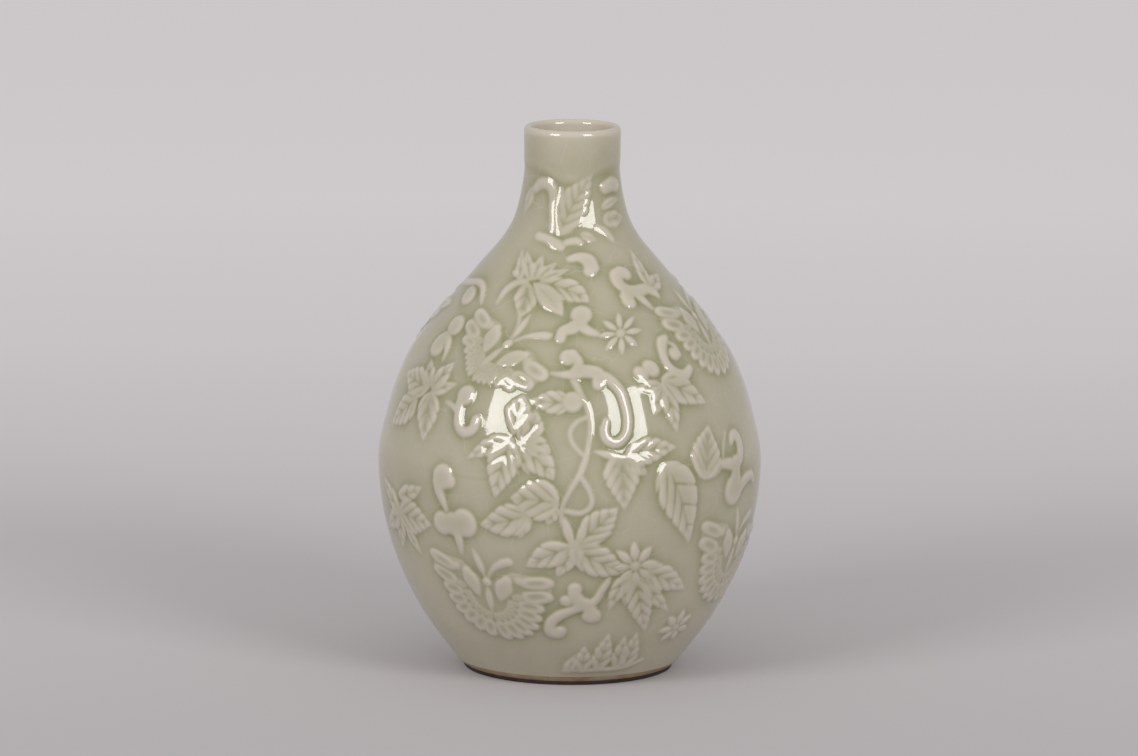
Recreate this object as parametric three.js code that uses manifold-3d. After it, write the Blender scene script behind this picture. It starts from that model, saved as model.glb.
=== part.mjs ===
// Celadon baluster vase with applied butterflies, blossoms, leaf sprays and cloud scrolls.
// Millimetres, +Z up. The vase stands on Z = 0 and the middle of its front faces -Y.
// The wall is thrown in three sections that are luted together, on a turned foot ring.
// Each relief ornament is a sprig: a pad of clay pressed in a mould and stuck on with slip.

import * as THREE from "three";
import { mergeVertices } from "three/addons/utils/BufferGeometryUtils.js";
import Module from "manifold-3d";

const wasm = await Module();
wasm.setup();

// Foot ring
const FOOT_RADIUS = 44;
const FOOT_RING_WIDTH = 9;
const FOOT_TREAD_HEIGHT = 1.7;
const FOOT_HEIGHT = 4.2;
const FOOT_INNER_CHAMFER = 1;

// Wall sections, each from its lower seam to its upper one
const HEEL_RADIUS = 47.4;
const BELLY_RADIUS = 80.7;
const NECK_SEAM_RADIUS = 24.7;
const LIP_RADIUS = 20;
const LOWER_HEIGHT = 87.8;
const UPPER_HEIGHT = 98;
const NECK_HEIGHT = 40;
const BODY_WALL = 4.8;
const NECK_WALL = 3.2;
const LIP_WALL = 2.4;
const BASE_THICKNESS = 6.5;

// Plain collar under the lip, standing proud of the relief ground
const COLLAR_HEIGHT = 18.5;
const COLLAR_STEP = 0.6;
const COLLAR_BEVEL = 1;

// Relief
const SLIP_GAP = 0.35;
const RELIEF_HEIGHT = 1.35;
const SCROLL_HEIGHT = 1.4;
const GROOVE_DEPTH = 0.4;
const VINE_HEIGHT = 0.9;
// A broad sprig's back is hollowed to follow the round wall: this deep, this share of the way out
const HOLLOW_DEPTH = 0.6;
const HOLLOW_SHARE = 0.6;
const EDGE_CURL = 0.018; // how far a leaf's edge lifts off the wall, as a share of its length
const LAYOUTS = 2; // the same layout goes on the front and, half a turn round, on the back

const ROUND_SEGMENTS = 36;
const DOME_SIDES = 5;
const WING_CELLS = 4;
const PROFILE_SAMPLES = 480;

// How each section swells: [share of its height, share of its change of radius].
const LOWER_SWELL = [[0, 0], [0.225, 0.43], [0.52, 0.795], [0.84, 0.985], [1, 1]];
const UPPER_SWELL = [
  [0.163, 0.061], [0.306, 0.134], [0.449, 0.25], [0.571, 0.404],
  [0.694, 0.584], [0.816, 0.764], [0.939, 0.941], [1, 1],
];
const NECK_SWELL = [[0.2, 0.53], [0.45, 0.915], [1, 1]];

const SEAM_BELLY = FOOT_HEIGHT + LOWER_HEIGHT;
const SEAM_NECK = SEAM_BELLY + UPPER_HEIGHT;
const HEIGHT = SEAM_NECK + NECK_HEIGHT;

// Rows of the relief layout: where each row's reference line lies, as a share of the wall's
// whole rise along its curve, and the wall radius that the row's sprigs were drawn for.
const ROWS = {
  foot: { share: 0.1473, radius: 67.6 },
  middle: { share: 0.3143, radius: 79.9 },
  upper: { share: 0.4966, radius: 73.9 },
  shoulder: { share: 0.6613, radius: 52.2 },
  neck: { share: 0.8474, radius: 23.9 },
};
const DRAWN_RISE = 251.8;

const celadon = (shade) =>
  new THREE.MeshStandardMaterial({ color: shade, roughness: 0.12, metalness: 0 });
const GLAZED_WALL = celadon("#a3a589");
const GLAZED_NECK = celadon("#a9a68f");
const GLAZED_RELIEF = celadon("#bdb8a6");
const BARE_FOOT = new THREE.MeshStandardMaterial({ color: "#6b4a38", roughness: 0.75, metalness: 0 });

// Profile of the wall

const swellKnots = (swell, lowHeight, rise, lowRadius, highRadius) =>
  swell.map(([up, out]) => [lowHeight + up * rise, lowRadius + out * (highRadius - lowRadius)]);

const KNOTS = [
  ...swellKnots(LOWER_SWELL, FOOT_HEIGHT, LOWER_HEIGHT, HEEL_RADIUS, BELLY_RADIUS),
  ...swellKnots(UPPER_SWELL, SEAM_BELLY, UPPER_HEIGHT, BELLY_RADIUS, NECK_SEAM_RADIUS),
  ...swellKnots(NECK_SWELL, SEAM_NECK, NECK_HEIGHT, NECK_SEAM_RADIUS, LIP_RADIUS),
];

/** Slope of the profile at a knot, from the chords on its two sides. */
function knotSlope(index) {
  const chord = (a, b) => (KNOTS[b][1] - KNOTS[a][1]) / (KNOTS[b][0] - KNOTS[a][0]);
  const last = KNOTS.length - 1;
  if (index === 0) return chord(0, 1);
  if (index === last) return chord(last - 1, last);
  const below = KNOTS[index][0] - KNOTS[index - 1][0];
  const above = KNOTS[index + 1][0] - KNOTS[index][0];
  const mixed = chord(index - 1, index) * above + chord(index, index + 1) * below;
  return mixed / (below + above);
}

/** Outer radius of the relief ground at a height: a smooth curve through the knots. */
function groundRadius(height) {
  const z = THREE.MathUtils.clamp(height, KNOTS[0][0], HEIGHT);
  const k = Math.max(1, KNOTS.findIndex(([knotHeight]) => knotHeight >= z));
  const [z0, r0] = KNOTS[k - 1];
  const [z1, r1] = KNOTS[k];
  const span = z1 - z0;
  const t = (z - z0) / span;
  return (
    (2 * t ** 3 - 3 * t ** 2 + 1) * r0 +
    (t ** 3 - 2 * t ** 2 + t) * span * knotSlope(k - 1) +
    (3 * t ** 2 - 2 * t ** 3) * r1 +
    (t ** 3 - t ** 2) * span * knotSlope(k)
  );
}

/** Unit vector, as [radius, height], that points up along the wall at a height. */
function wallTangent(height) {
  const reach = 0.5;
  const rise = new THREE.Vector2(
    groundRadius(height + reach) - groundRadius(height - reach),
    Math.min(height + reach, HEIGHT) - Math.max(height - reach, FOOT_HEIGHT),
  );
  return rise.normalize();
}

// The wall's curve measured along its rise, for laying the sprigs on it
const CURVE = [{ rise: 0, height: FOOT_HEIGHT }];
for (let i = 1; i <= PROFILE_SAMPLES; i++) {
  const before = CURVE[i - 1];
  const height = FOOT_HEIGHT + ((HEIGHT - FOOT_HEIGHT) * i) / PROFILE_SAMPLES;
  const step = Math.hypot(height - before.height, groundRadius(height) - groundRadius(before.height));
  CURVE.push({ rise: before.rise + step, height });
}
const WALL_RISE = CURVE[PROFILE_SAMPLES].rise;

/** Height of the wall at a distance along its curve from the foot ring. */
function heightAtRise(rise) {
  const k = Math.max(1, CURVE.findIndex((sample) => sample.rise >= rise));
  const [low, high] = [CURVE[k - 1], CURVE[k]];
  const share = (rise - low.rise) / (high.rise - low.rise);
  return low.height + share * (high.height - low.height);
}

/**
 * Maps a sprig's flat drawing on to the wall. A drawing point is [right, up, out] in
 * millimetres from the row's reference line and the column's angle in degrees.
 */
function wallMap(rowName, column, turn) {
  const row = ROWS[rowName];
  const stretchUp = WALL_RISE / DRAWN_RISE;
  const origin = row.share * WALL_RISE;
  const stretchRound = groundRadius(heightAtRise(origin)) / row.radius;
  return ([right, up, out]) => {
    const height = heightAtRise(origin + up * stretchUp);
    const radius = groundRadius(height);
    const angle = THREE.MathUtils.degToRad(column + turn) + (right * stretchRound) / radius;
    const tangent = wallTangent(height);
    const stand = SLIP_GAP + out;
    const r = radius + stand * tangent.y;
    return new THREE.Vector3(r * Math.sin(angle), -r * Math.cos(angle), height - stand * tangent.x);
  };
}

// Solids

/** Closed skin from a start point through equal rings to an end point. */
function skin(start, rings, end) {
  const size = rings[0].length;
  const at = (ring, side) => 1 + ring * size + (side % size);
  const last = 1 + rings.length * size;
  const faces = [];
  for (let side = 0; side < size; side++) {
    faces.push(0, at(0, side + 1), at(0, side));
    for (let ring = 1; ring < rings.length; ring++) {
      faces.push(at(ring - 1, side), at(ring - 1, side + 1), at(ring, side + 1));
      faces.push(at(ring - 1, side), at(ring, side + 1), at(ring, side));
    }
    faces.push(last, at(rings.length - 1, side), at(rings.length - 1, side + 1));
  }
  const geometry = new THREE.BufferGeometry().setFromPoints([start, ...rings.flat(), end]);
  geometry.setIndex(faces);
  return geometry;
}

/** The geometry as a solid that can be joined to others. */
function solidOf(geometry) {
  const merged = mergeVertices(geometry, 1e-4);
  const mesh = new wasm.Mesh({
    numProp: 3,
    vertProperties: merged.attributes.position.array,
    triVerts: new Uint32Array(merged.index.array),
  });
  return new wasm.Manifold(mesh);
}

/** Joins overlapping geometries into one closed geometry. */
function join(geometries) {
  const joined = geometries.map(solidOf).reduce((whole, piece) => whole.add(piece));
  const mesh = joined.getMesh();
  const geometry = new THREE.BufferGeometry();
  const flat = new Float32Array(mesh.numVert * 3);
  for (let i = 0; i < mesh.numVert; i++) {
    flat.set(mesh.vertProperties.subarray(i * mesh.numProp, i * mesh.numProp + 3), i * 3);
  }
  geometry.setAttribute("position", new THREE.BufferAttribute(flat, 3));
  geometry.setIndex(new THREE.BufferAttribute(mesh.triVerts, 1));
  return geometry;
}

// Relief shapes, each drawn flat and laid on the wall by a map

/** Rings across a line of stations: each station has a middle, a direction and a section. */
function acrossLine(stations, map) {
  return stations.map(({ middle, along, section }) => {
    const left = [-along[1], along[0]];
    return section.map(([side, out]) =>
      map([middle[0] + left[0] * side, middle[1] + left[1] * side, out]),
    );
  });
}

/** Pointed leaf or petal from its base to its tip, with a grooved midrib when it is wide. */
function leaf(base, tip, width, bend = 0) {
  const run = [tip[0] - base[0], tip[1] - base[1]];
  const length = Math.hypot(...run);
  const along = [run[0] / length, run[1] / length];
  const narrow = width < 5;
  const broad = width > 9;
  const half = width / 2;
  const crown = RELIEF_HEIGHT * (narrow ? 0.85 : 1);
  const stations = (narrow ? [0.25, 0.65] : [0.18, 0.48, 0.8]).map((t) => {
    const bow = 4 * bend * t * (1 - t);
    const slant = 4 * bend * (1 - 2 * t);
    const heading = [along[0] * length - along[1] * slant, along[1] * length + along[0] * slant];
    const size = Math.hypot(...heading);
    const w = half * Math.sin(Math.PI * t ** 0.8);
    const groove = crown - GROOVE_DEPTH;
    const grooved = [[w, 0], [0.5 * w, crown], [0, groove], [-0.5 * w, crown], [-w, 0]];
    if (broad) grooved.push([0, 0.15]);
    return {
      middle: [base[0] + run[0] * t - along[1] * bow, base[1] + run[1] * t + along[0] * bow],
      along: [heading[0] / size, heading[1] / size],
      section: narrow ? [[w, 0], [0, crown], [-w, 0]] : grooved,
    };
  });
  return (map) => skin(map([...base, 0]), acrossLine(stations, map), map([...tip, 0]));
}

/** Rounded stroke through points [right, up, half width], for scrolls and vines. */
function stroke(points, height = SCROLL_HEIGHT) {
  const last = points.length - 1;
  const heading = (i) => {
    const [a, b] = [points[Math.max(0, i - 1)], points[Math.min(last, i + 1)]];
    const size = Math.hypot(b[0] - a[0], b[1] - a[1]);
    return [(b[0] - a[0]) / size, (b[1] - a[1]) / size];
  };
  const allThin = points.every((point) => point[2] < 2.2);
  const stations = points.map(([right, up, half], i) => {
    const top = Math.min(height, 0.75 * half);
    return {
      middle: [right, up],
      along: heading(i),
      section: allThin
        ? [[half, 0], [0, top], [-half, 0]]
        : [[half, 0], [0.5 * half, top], [-0.5 * half, top], [-half, 0]],
    };
  });
  const endPoint = (i, sign) => {
    const [right, up, half] = points[i];
    const [x, y] = heading(i);
    return [right + sign * x * half * 0.8, up + sign * y * half * 0.8, 0];
  };
  return (map) => skin(map(endPoint(0, -1)), acrossLine(stations, map), map(endPoint(last, 1)));
}

const vine = (points) => stroke(points, VINE_HEIGHT);

/** Round pillow, for a scroll's bulb or a lobe of a cloud. */
function dome(right, up, radius) {
  const circle = (share, out) =>
    Array.from({ length: DOME_SIDES }, (_, i) => {
      const angle = (2 * Math.PI * i) / DOME_SIDES;
      return [right + radius * share * Math.cos(angle), up + radius * share * Math.sin(angle), out];
    });
  return (map) => {
    const rings = [circle(1, 0).map(map), circle(0.6, SCROLL_HEIGHT * 0.9).map(map)];
    return skin(map([right, up, 0.1]), rings, map([right, up, SCROLL_HEIGHT]));
  };
}

/**
 * A star-shaped pad round a hub. A spoke has an angle, the reach and lift of its outline point,
 * and the reach and height of its crown point.
 */
function starPad(right, up, spokes, hubOut) {
  const at = (angle, reach, out) => [
    right + reach * Math.cos(angle),
    up + reach * Math.sin(angle),
    out,
  ];
  const hollow = spokes.map((spoke) => at(spoke.angle, spoke.reach * HOLLOW_SHARE, HOLLOW_DEPTH));
  const outline = spokes.map((spoke) => at(spoke.angle, spoke.reach, spoke.lift ?? 0));
  const crown = spokes.map((spoke) => at(spoke.angle, spoke.crownReach, spoke.crownOut));
  return (map) => {
    const rings = [hollow, outline, crown].map((ring) => ring.map(map));
    return skin(map([right, up, HOLLOW_DEPTH]), rings, map([right, up, hubOut]));
  };
}

/** Petals round a centre. */
function blossom(right, up, radius, petals, firstAngle) {
  const spokes = Array.from({ length: 2 * petals }, (_, i) => {
    const tip = i % 2 === 0;
    return {
      angle: THREE.MathUtils.degToRad(firstAngle) + (Math.PI * i) / petals,
      reach: radius * (tip ? 1 : 0.45),
      crownReach: radius * (tip ? 0.6 : 0.3),
      crownOut: RELIEF_HEIGHT * (tip ? 1 : 0.6),
    };
  });
  return starPad(right, up, spokes, RELIEF_HEIGHT);
}

/** Leaves that spread from one hub, each given as [tip right, tip up, width]. */
function spray(right, up, leaves) {
  const fan = leaves
    .map(([x, y, width]) => ({
      angle: Math.atan2(y - up, x - right),
      length: Math.hypot(x - right, y - up),
      half: width / 2,
    }))
    .sort((a, b) => a.angle - b.angle);
  const gapAfter = (i) => {
    const next = fan[(i + 1) % fan.length].angle + (i + 1 === fan.length ? 2 * Math.PI : 0);
    return next - fan[i].angle;
  };
  const spokes = fan.flatMap((blade, i) => {
    const middle = 0.5 * blade.length;
    const spread = Math.atan2(blade.half, middle);
    const before = gapAfter((i + fan.length - 1) % fan.length);
    const after = gapAfter(i);
    const shoulder = (turn) => ({
      angle: blade.angle + turn,
      reach: middle / Math.cos(turn),
      lift: EDGE_CURL * blade.length,
      crownReach: 0.8 * middle,
      crownOut: RELIEF_HEIGHT,
    });
    const shorter = Math.min(blade.length, fan[(i + 1) % fan.length].length);
    const valley = shorter * (after < 1.2 ? 0.4 : 0.2);
    return [
      shoulder(-Math.min(spread, 0.42 * before)),
      {
        angle: blade.angle,
        reach: blade.length,
        crownReach: 0.75 * blade.length,
        crownOut: RELIEF_HEIGHT - GROOVE_DEPTH,
      },
      shoulder(Math.min(spread, 0.42 * after)),
      {
        angle: blade.angle + after / 2,
        reach: valley,
        crownReach: 0.75 * valley,
        crownOut: RELIEF_HEIGHT - GROOVE_DEPTH,
      },
    ];
  });
  return starPad(right, up, spokes, RELIEF_HEIGHT - GROOVE_DEPTH);
}

// Butterflies, seen from above with the head up: angles in degrees from the right
const ROUND_WINGS = { tip: 31, tipAngle: 27, tipSpread: 18, hind: 24.5 };
const SMALL_WINGS = { tip: 28.5, tipAngle: 27, tipSpread: 20, hind: 20 };
const SWEPT_WINGS = { tip: 30, tipAngle: 20, tipSpread: 33, hind: 12 };
const WING_END_ANGLE = -84;
const WING_SCALLOP = 1.5;
const WING_CROWN = 0.86;
const BUTTERFLY_BODY_OUT = 1.2 * RELIEF_HEIGHT;
const HEAD_REACH = 11.5;
const TAIL_REACH = 9;
const LEADING_EDGE_LIFT = 0.7;

/** Spokes of the right wing from its last hind cell up to the head. */
function wingSpokes(shape) {
  const spoke = (angle, reach, ridge) => ({
    angle: THREE.MathUtils.degToRad(angle),
    reach,
    crownReach: WING_CROWN * reach,
    crownOut: ridge ? RELIEF_HEIGHT : RELIEF_HEIGHT - GROOVE_DEPTH,
  });
  const rays = 2 * WING_CELLS;
  const sweep = shape.tipAngle - WING_END_ANGLE;
  const scallops = Array.from({ length: rays + 1 }, (_, i) => {
    const angle = WING_END_ANGLE + (sweep * i) / rays;
    const pastTip = (shape.tipAngle - angle) / shape.tipSpread;
    const ridge = i % 2 === 0;
    const reach = shape.hind + (shape.tip - shape.hind) * Math.exp(-(pastTip ** 2));
    return spoke(angle, ridge ? reach : reach - WING_SCALLOP, ridge);
  });
  return [...scallops, { ...spoke(45, 15, true), lift: LEADING_EDGE_LIFT }, spoke(68, 9.5, false)];
}

/** Butterfly seen from above, its head up when turn is 0 degrees. */
function butterfly(right, up, turn, shape) {
  const tilt = THREE.MathUtils.degToRad(turn);
  const turned = ([x, y, half]) => [
    right + x * Math.cos(tilt) - y * Math.sin(tilt),
    up + x * Math.sin(tilt) + y * Math.cos(tilt),
    half,
  ];
  const rightWing = wingSpokes(shape);
  const leftWing = rightWing.map((spoke) => ({ ...spoke, angle: Math.PI - spoke.angle })).reverse();
  const end = { crownOut: RELIEF_HEIGHT };
  const head = { ...end, angle: Math.PI / 2, reach: HEAD_REACH, crownReach: 0.8 * HEAD_REACH };
  const tail = { ...end, angle: 1.5 * Math.PI, reach: TAIL_REACH, crownReach: 0.8 * TAIL_REACH };
  const spokes = [...rightWing, head, ...leftWing, tail].map((spoke) => ({
    ...spoke,
    angle: spoke.angle + tilt,
  }));
  return [
    starPad(right, up, spokes, BUTTERFLY_BODY_OUT),
    vine([[-0.5, 9.5, 1.1], [-2.6, 20, 1.1]].map(turned)),
    vine([[0.8, 9.5, 0.9], [4, 15, 1.1], [11.5, 18.3, 1.5]].map(turned)),
  ];
}

// The layout. Every sprig is drawn from its row's line and its column's angle in degrees,
// so a point is [right, up]; strokes add a half width, leaves a width and a bend.

const SPRIGS = [
  {
    name: "butterfly_low_left",
    row: "foot",
    column: -48,
    shapes: butterfly(24.6, 9, -9, ROUND_WINGS),
  },
  {
    name: "butterfly_low_right",
    row: "foot",
    column: 45,
    shapes: butterfly(24.5, 19.5, -10, ROUND_WINGS),
  },
  {
    name: "butterfly_high_left",
    row: "shoulder",
    column: -45,
    shapes: butterfly(16, -18.5, -27, SWEPT_WINGS),
  },
  {
    name: "butterfly_high_right",
    row: "shoulder",
    column: 45,
    shapes: butterfly(24.5, -11, -3, SMALL_WINGS),
  },
  {
    name: "scroll_foot",
    row: "foot",
    column: 0,
    shapes: [
      stroke([[2.7, 13.4, 3], [3.4, 8.5, 3.2], [8, 4.5, 3.3], [9.5, -1.2, 4]]),
      dome(-0.7, 7.2, 2.9),
      stroke([[8, 5, 2.6], [13.4, 11.2, 1.8], [16.8, 17.8, 1]]),
      stroke([[5.5, 4, 2.6], [-2.8, -0.4, 2.5], [-7.2, -5.4, 2.6], [-5.2, -9.8, 3.2]]),
    ],
  },
  {
    name: "leaf_foot",
    row: "foot",
    column: 0,
    shapes: [
      spray(13, -29, [
        [-1.5, -32.5, 5], [3, -22.8, 6], [7, -17.4, 7.5], [17.4, -10.2, 9], [24.5, -13, 7],
        [30, -11.5, 8], [33, -28.5, 5],
      ]),
    ],
  },
  {
    name: "blossom_small",
    row: "foot",
    column: 45,
    shapes: [
      blossom(0.5, -11, 9.5, 7, 85),
    ],
  },
  {
    name: "blossom_low",
    row: "foot",
    column: 0,
    shapes: [
      spray(28, 21, [
        [18.5, 22.5, 4.5], [20, 30.5, 4.5], [27.5, 34.5, 4.5], [36.5, 31, 4.5], [39.5, 23.5, 5],
        [53, 8.5, 11], [45, -2, 7], [33.5, -11.5, 12], [17, 1.5, 8],
      ]),
    ],
  },
  {
    name: "leaves_low",
    row: "middle",
    column: 0,
    shapes: [
      spray(2, -10, [
        [-19.5, -19.5, 12], [6.5, 4, 4.5], [20.5, 7.5, 11.5], [22, -15, 10],
        [11, -24, 9], [-5.5, -24, 9],
      ]),
    ],
  },
  {
    name: "leaf_lobed",
    row: "middle",
    column: 0,
    shapes: [
      leaf([-4, 9], [-25, 10.5], 18, -0.6),
      leaf([-14.5, 4.5], [-38.5, -2], 15, 0.8),
    ],
  },
  {
    name: "scroll_cloud",
    row: "middle",
    column: -48,
    shapes: [
      stroke([[13.6, 16.4, 3.6], [9.6, 16, 5], [8.7, 11, 3.2], [10.4, 6, 2], [12.2, 0.5, 1.4]]),
      dome(9.6, -3.4, 5.3),
      dome(15, -3, 5.2),
      dome(20.8, -2.2, 6.2),
      stroke([[17, -6, 2.9], [17.1, -15, 1.1]]),
    ],
  },
  {
    name: "leaves_edge",
    row: "middle",
    column: -48,
    shapes: [
      spray(-19, -4, [
        [-1.5, 10.5, 8], [2.5, -5.5, 15], [-7.5, -21, 7], [-24, -20.5, 9], [-38, -13, 9],
        [-37, 9, 9],
      ]),
    ],
  },
  {
    name: "leaves_centre",
    row: "upper",
    column: 0,
    shapes: [
      spray(-20.5, -11, [
        [-31.5, -35, 14], [-16, -26, 9], [-7, -27.5, 12], [-15, 0.5, 10], [-27, 3, 10],
        [-44, -20.5, 11],
      ]),
    ],
  },
  {
    name: "leaf_heart",
    row: "upper",
    column: 0,
    shapes: [
      spray(22, -17.5, [[23.2, -40.3, 16], [9, -15, 4], [47, -15.5, 11], [33, -27, 8]]),
    ],
  },
  {
    name: "leaf_long",
    row: "middle",
    column: 48,
    shapes: [
      leaf([-26, 24], [-11.3, -11.8], 19, 0.8),
    ],
  },
  {
    name: "leaf_cup_and_hook",
    row: "middle",
    column: 48,
    shapes: [
      leaf([-5.5, 15.3], [1, 37.5], 18, 0.5),
      stroke([[4, 20.5, 2.4], [12, 19.8, 3], [18.6, 20.6, 3.2], [21, 26, 3], [17, 30.6, 2.6]]),
      stroke([[15.5, 20, 3.2], [14.5, 10, 5]]),
      dome(14, 8.6, 6.9),
      stroke([[17, 8, 3.2], [25, 12, 2.8], [32.5, 10.2, 1.8]]),
    ],
  },
  {
    name: "leaves_left",
    row: "upper",
    column: -48,
    shapes: [
      spray(-7, 4, [
        [-4.3, -17, 13.5], [-34, -14, 11], [-32, 9, 12], [-14, 17.5, 8], [2, 18.5, 9],
        [8, 9.5, 6.5],
      ]),
    ],
  },
  {
    name: "scroll_left",
    row: "upper",
    column: -48,
    shapes: [
      dome(14.3, 5, 4.3),
      stroke([[13, 3, 2.6], [13.2, -3, 2.3], [16.5, -9.8, 2.4], [22, -8.5, 2.4], [22.8, -4.5, 2.3]]),
    ],
  },
  {
    name: "scroll_hook_shoulder",
    row: "shoulder",
    column: -45,
    shapes: [
      stroke([[-30, 11.5, 1.6], [-21.5, 12.8, 1.9], [-13, 13.6, 2], [-8, 11, 1.8], [-5, 6.5, 1.2]]),
      dome(-15.6, 7.4, 4.9),
    ],
  },
  {
    name: "scroll_bulbs",
    row: "shoulder",
    column: -45,
    shapes: [
      dome(-12, -7.2, 5.1),
      dome(-17, -17.8, 5),
      stroke([[-18.5, -15, 2.6], [-14.5, -12.6, 2.8], [-10.6, -16.5, 2.2], [-9.3, -22.5, 1.1]]),
    ],
  },
  {
    name: "leaves_shoulder",
    row: "shoulder",
    column: 0,
    shapes: [
      spray(-18, 18.5, [
        [-20.5, 33, 6], [-33.5, 8, 4], [-22.8, 2, 9.5], [-3.8, 3.6, 8.5], [4.5, 10.5, 10],
        [-2.5, 26.2, 6], [-11, 32, 8],
      ]),
    ],
  },
  {
    name: "scroll_comma",
    row: "shoulder",
    column: 0,
    shapes: [
      stroke([[-0.2, 30.3, 1.8], [4, 31, 2.8], [8, 28.5, 3.4], [8.2, 23.5, 3.2]]),
    ],
  },
  {
    name: "scroll_cluster",
    row: "shoulder",
    column: 45,
    shapes: [
      stroke([
        [-5.5, 21.8, 3.2], [-10.8, 21, 3.2], [-10.5, 15.5, 3], [-5, 13, 3.2], [1, 13.4, 2.8],
        [5.2, 10, 1.7],
      ]),
      stroke([[-8.5, 14, 3], [-11.3, 8.4, 3.5]]),
      stroke([[-6, 11, 2.4], [-1.4, 4, 1.3]]),
      leaf([3, 12], [4.5, 33.5], 6.5),
      leaf([1.5, 12.5], [15, 19.5], 8),
    ],
  },
  {
    name: "blossom_star",
    row: "shoulder",
    column: 0,
    shapes: [
      blossom(21, -6, 10.5, 8, 5),
    ],
  },
  {
    name: "scroll_vine",
    row: "upper",
    column: 0,
    shapes: [
      dome(4.3, 45, 4.5),
      stroke([[4, 42, 3], [0.5, 38.4, 3], [-3.3, 36, 2.5], [-3.9, 31.5, 2.2]]),
      stroke([[3.5, 40, 2.6], [11.5, 35.8, 1.2]]),
      stroke([[-3.6, 33, 1.8], [-0.8, 26, 3.4], [2.8, 21.5, 2.6], [3, 17, 2.8]]),
      stroke([[-4.5, 17, 1.2], [3, 18.2, 3], [9, 18, 3.2], [11.8, 12.8, 2.6]]),
      stroke([
        [11, 17.5, 2.1], [17, 13.8, 2.1], [22.5, 5, 2.1], [24, -4, 2.1], [20, -11.4, 2.1],
        [15.4, -9.5, 2.1], [14.6, -4.5, 1.8],
      ]),
      vine([
        [2.5, 15, 1.9], [6, 5.5, 1.4], [8.3, -5, 1.3], [6.4, -18.5, 1.5], [1.5, -30, 1.3],
        [-3, -40.5, 1.3], [-2.6, -45.5, 1.2],
      ]),
      vine([[7.4, -1.5, 1.2], [1, -5.5, 1.2], [1.6, -12.5, 1.2], [6.5, -17.5, 1.3]]),
      vine([[4.6, -25.5, 1.4], [9, -33, 1.3], [6.6, -40, 1.3], [-2.4, -40, 1.3]]),
      dome(0.8, 5.2, 4.5),
      leaf([0, 4.8], [-16.8, 5.2], 10.5),
    ],
  },
  {
    name: "scroll_and_leaves_right",
    row: "upper",
    column: 45,
    shapes: [
      stroke([[-3, 31.5, 1.8], [-7.4, 27, 2.6], [-8.6, 20.5, 2.4], [-5.5, 15.2, 2.7], [2.6, 16, 1.8]]),
      stroke([[-4.4, 30, 1.6], [-2.6, 23.6, 3]]),
      stroke([[-7, 17, 1.8], [-12, 12.5, 1.8]]),
      spray(-14, 11, [
        [-26, 17, 7], [-18, 22.5, 7.5], [-12.7, -10, 8], [6.8, 0.5, 12], [-27, 8, 6],
        [-22, -1.5, 7],
      ]),
    ],
  },
  {
    name: "scroll_neck",
    row: "neck",
    column: -30,
    shapes: [
      stroke([[-5.2, 13.6, 2.3], [-1, 15.8, 2.5], [3, 12, 2.3], [4, 4, 2.2], [5.2, -6, 2]]),
      stroke([[0, -6.5, 1.8], [5, -7.6, 2.1], [10.5, -10.5, 1.8]]),
      leaf([8, -9.2], [17.5, -8.4], 4),
      leaf([-3, 14], [-12.5, 2.5], 5.5),
    ],
  },
  {
    name: "leaves_neck",
    row: "neck",
    column: 30,
    shapes: [
      spray(-4, 2, [
        [-15.5, -5, 5], [-11.5, 14.5, 6], [-2.5, 18.5, 6], [10.8, 6, 5], [10.4, 0, 6], [-1, -8.5, 5],
      ]),
      stroke([[-1.5, 6, 1.6], [3, 11, 2], [8, 14.6, 3.3]]),
    ],
  },
];

// Building

/** Ring of revolution from a profile of [radius, height] points that closes on itself. */
function revolve(profile) {
  const points = profile.map(([radius, height]) => new THREE.Vector2(radius, height));
  const geometry = new THREE.LatheGeometry(points, ROUND_SEGMENTS);
  geometry.deleteAttribute("normal");
  geometry.deleteAttribute("uv");
  geometry.rotateX(Math.PI / 2);
  return mergeVertices(geometry, 1e-4);
}

/** Heights from low to high, both ends included, closer together towards the top when crowd > 1. */
const heights = (low, high, steps, crowd = 1) =>
  Array.from({ length: steps + 1 }, (_, i) => low + (high - low) * (1 - (1 - i / steps) ** crowd));

/** Wall thickness at a height: it thins through the neck section. */
function wallThickness(height) {
  if (height <= SEAM_NECK) return BODY_WALL - (BODY_WALL - NECK_WALL) * smoothShare(height);
  return NECK_WALL;
}

/** 0 at the belly seam and below, rising to 1 at the neck seam. */
const smoothShare = (height) => THREE.MathUtils.smoothstep(height, SEAM_BELLY, SEAM_NECK);

/** Outer wall points at the given heights. */
const outerWall = (levels) => levels.map((height) => [groundRadius(height), height]);

/** Inner wall radius at a height, with the wall's thickness measured square to the wall. */
function boreRadius(height) {
  const upright = wallTangent(height).y;
  return groundRadius(height) - wallThickness(height) / upright;
}

/** Inner wall points at the given heights, from the top down. */
const innerWall = (levels) => [...levels].reverse().map((height) => [boreRadius(height), height]);

function lowerBody() {
  const floor = FOOT_HEIGHT + BASE_THICKNESS;
  const outer = outerWall(heights(FOOT_HEIGHT, SEAM_BELLY, 8));
  const inner = innerWall(heights(floor + 5, SEAM_BELLY, 6));
  const floorEdge = boreRadius(floor) - 4;
  return revolve([[0, FOOT_HEIGHT], ...outer, ...inner, [floorEdge, floor], [0, floor]]);
}

function upperBody() {
  const outer = outerWall(heights(SEAM_BELLY, SEAM_NECK, 11, 1.6));
  const inner = innerWall(heights(SEAM_BELLY, SEAM_NECK, 8, 1.5));
  return revolve([...outer, ...inner, outer[0]]);
}

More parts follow.
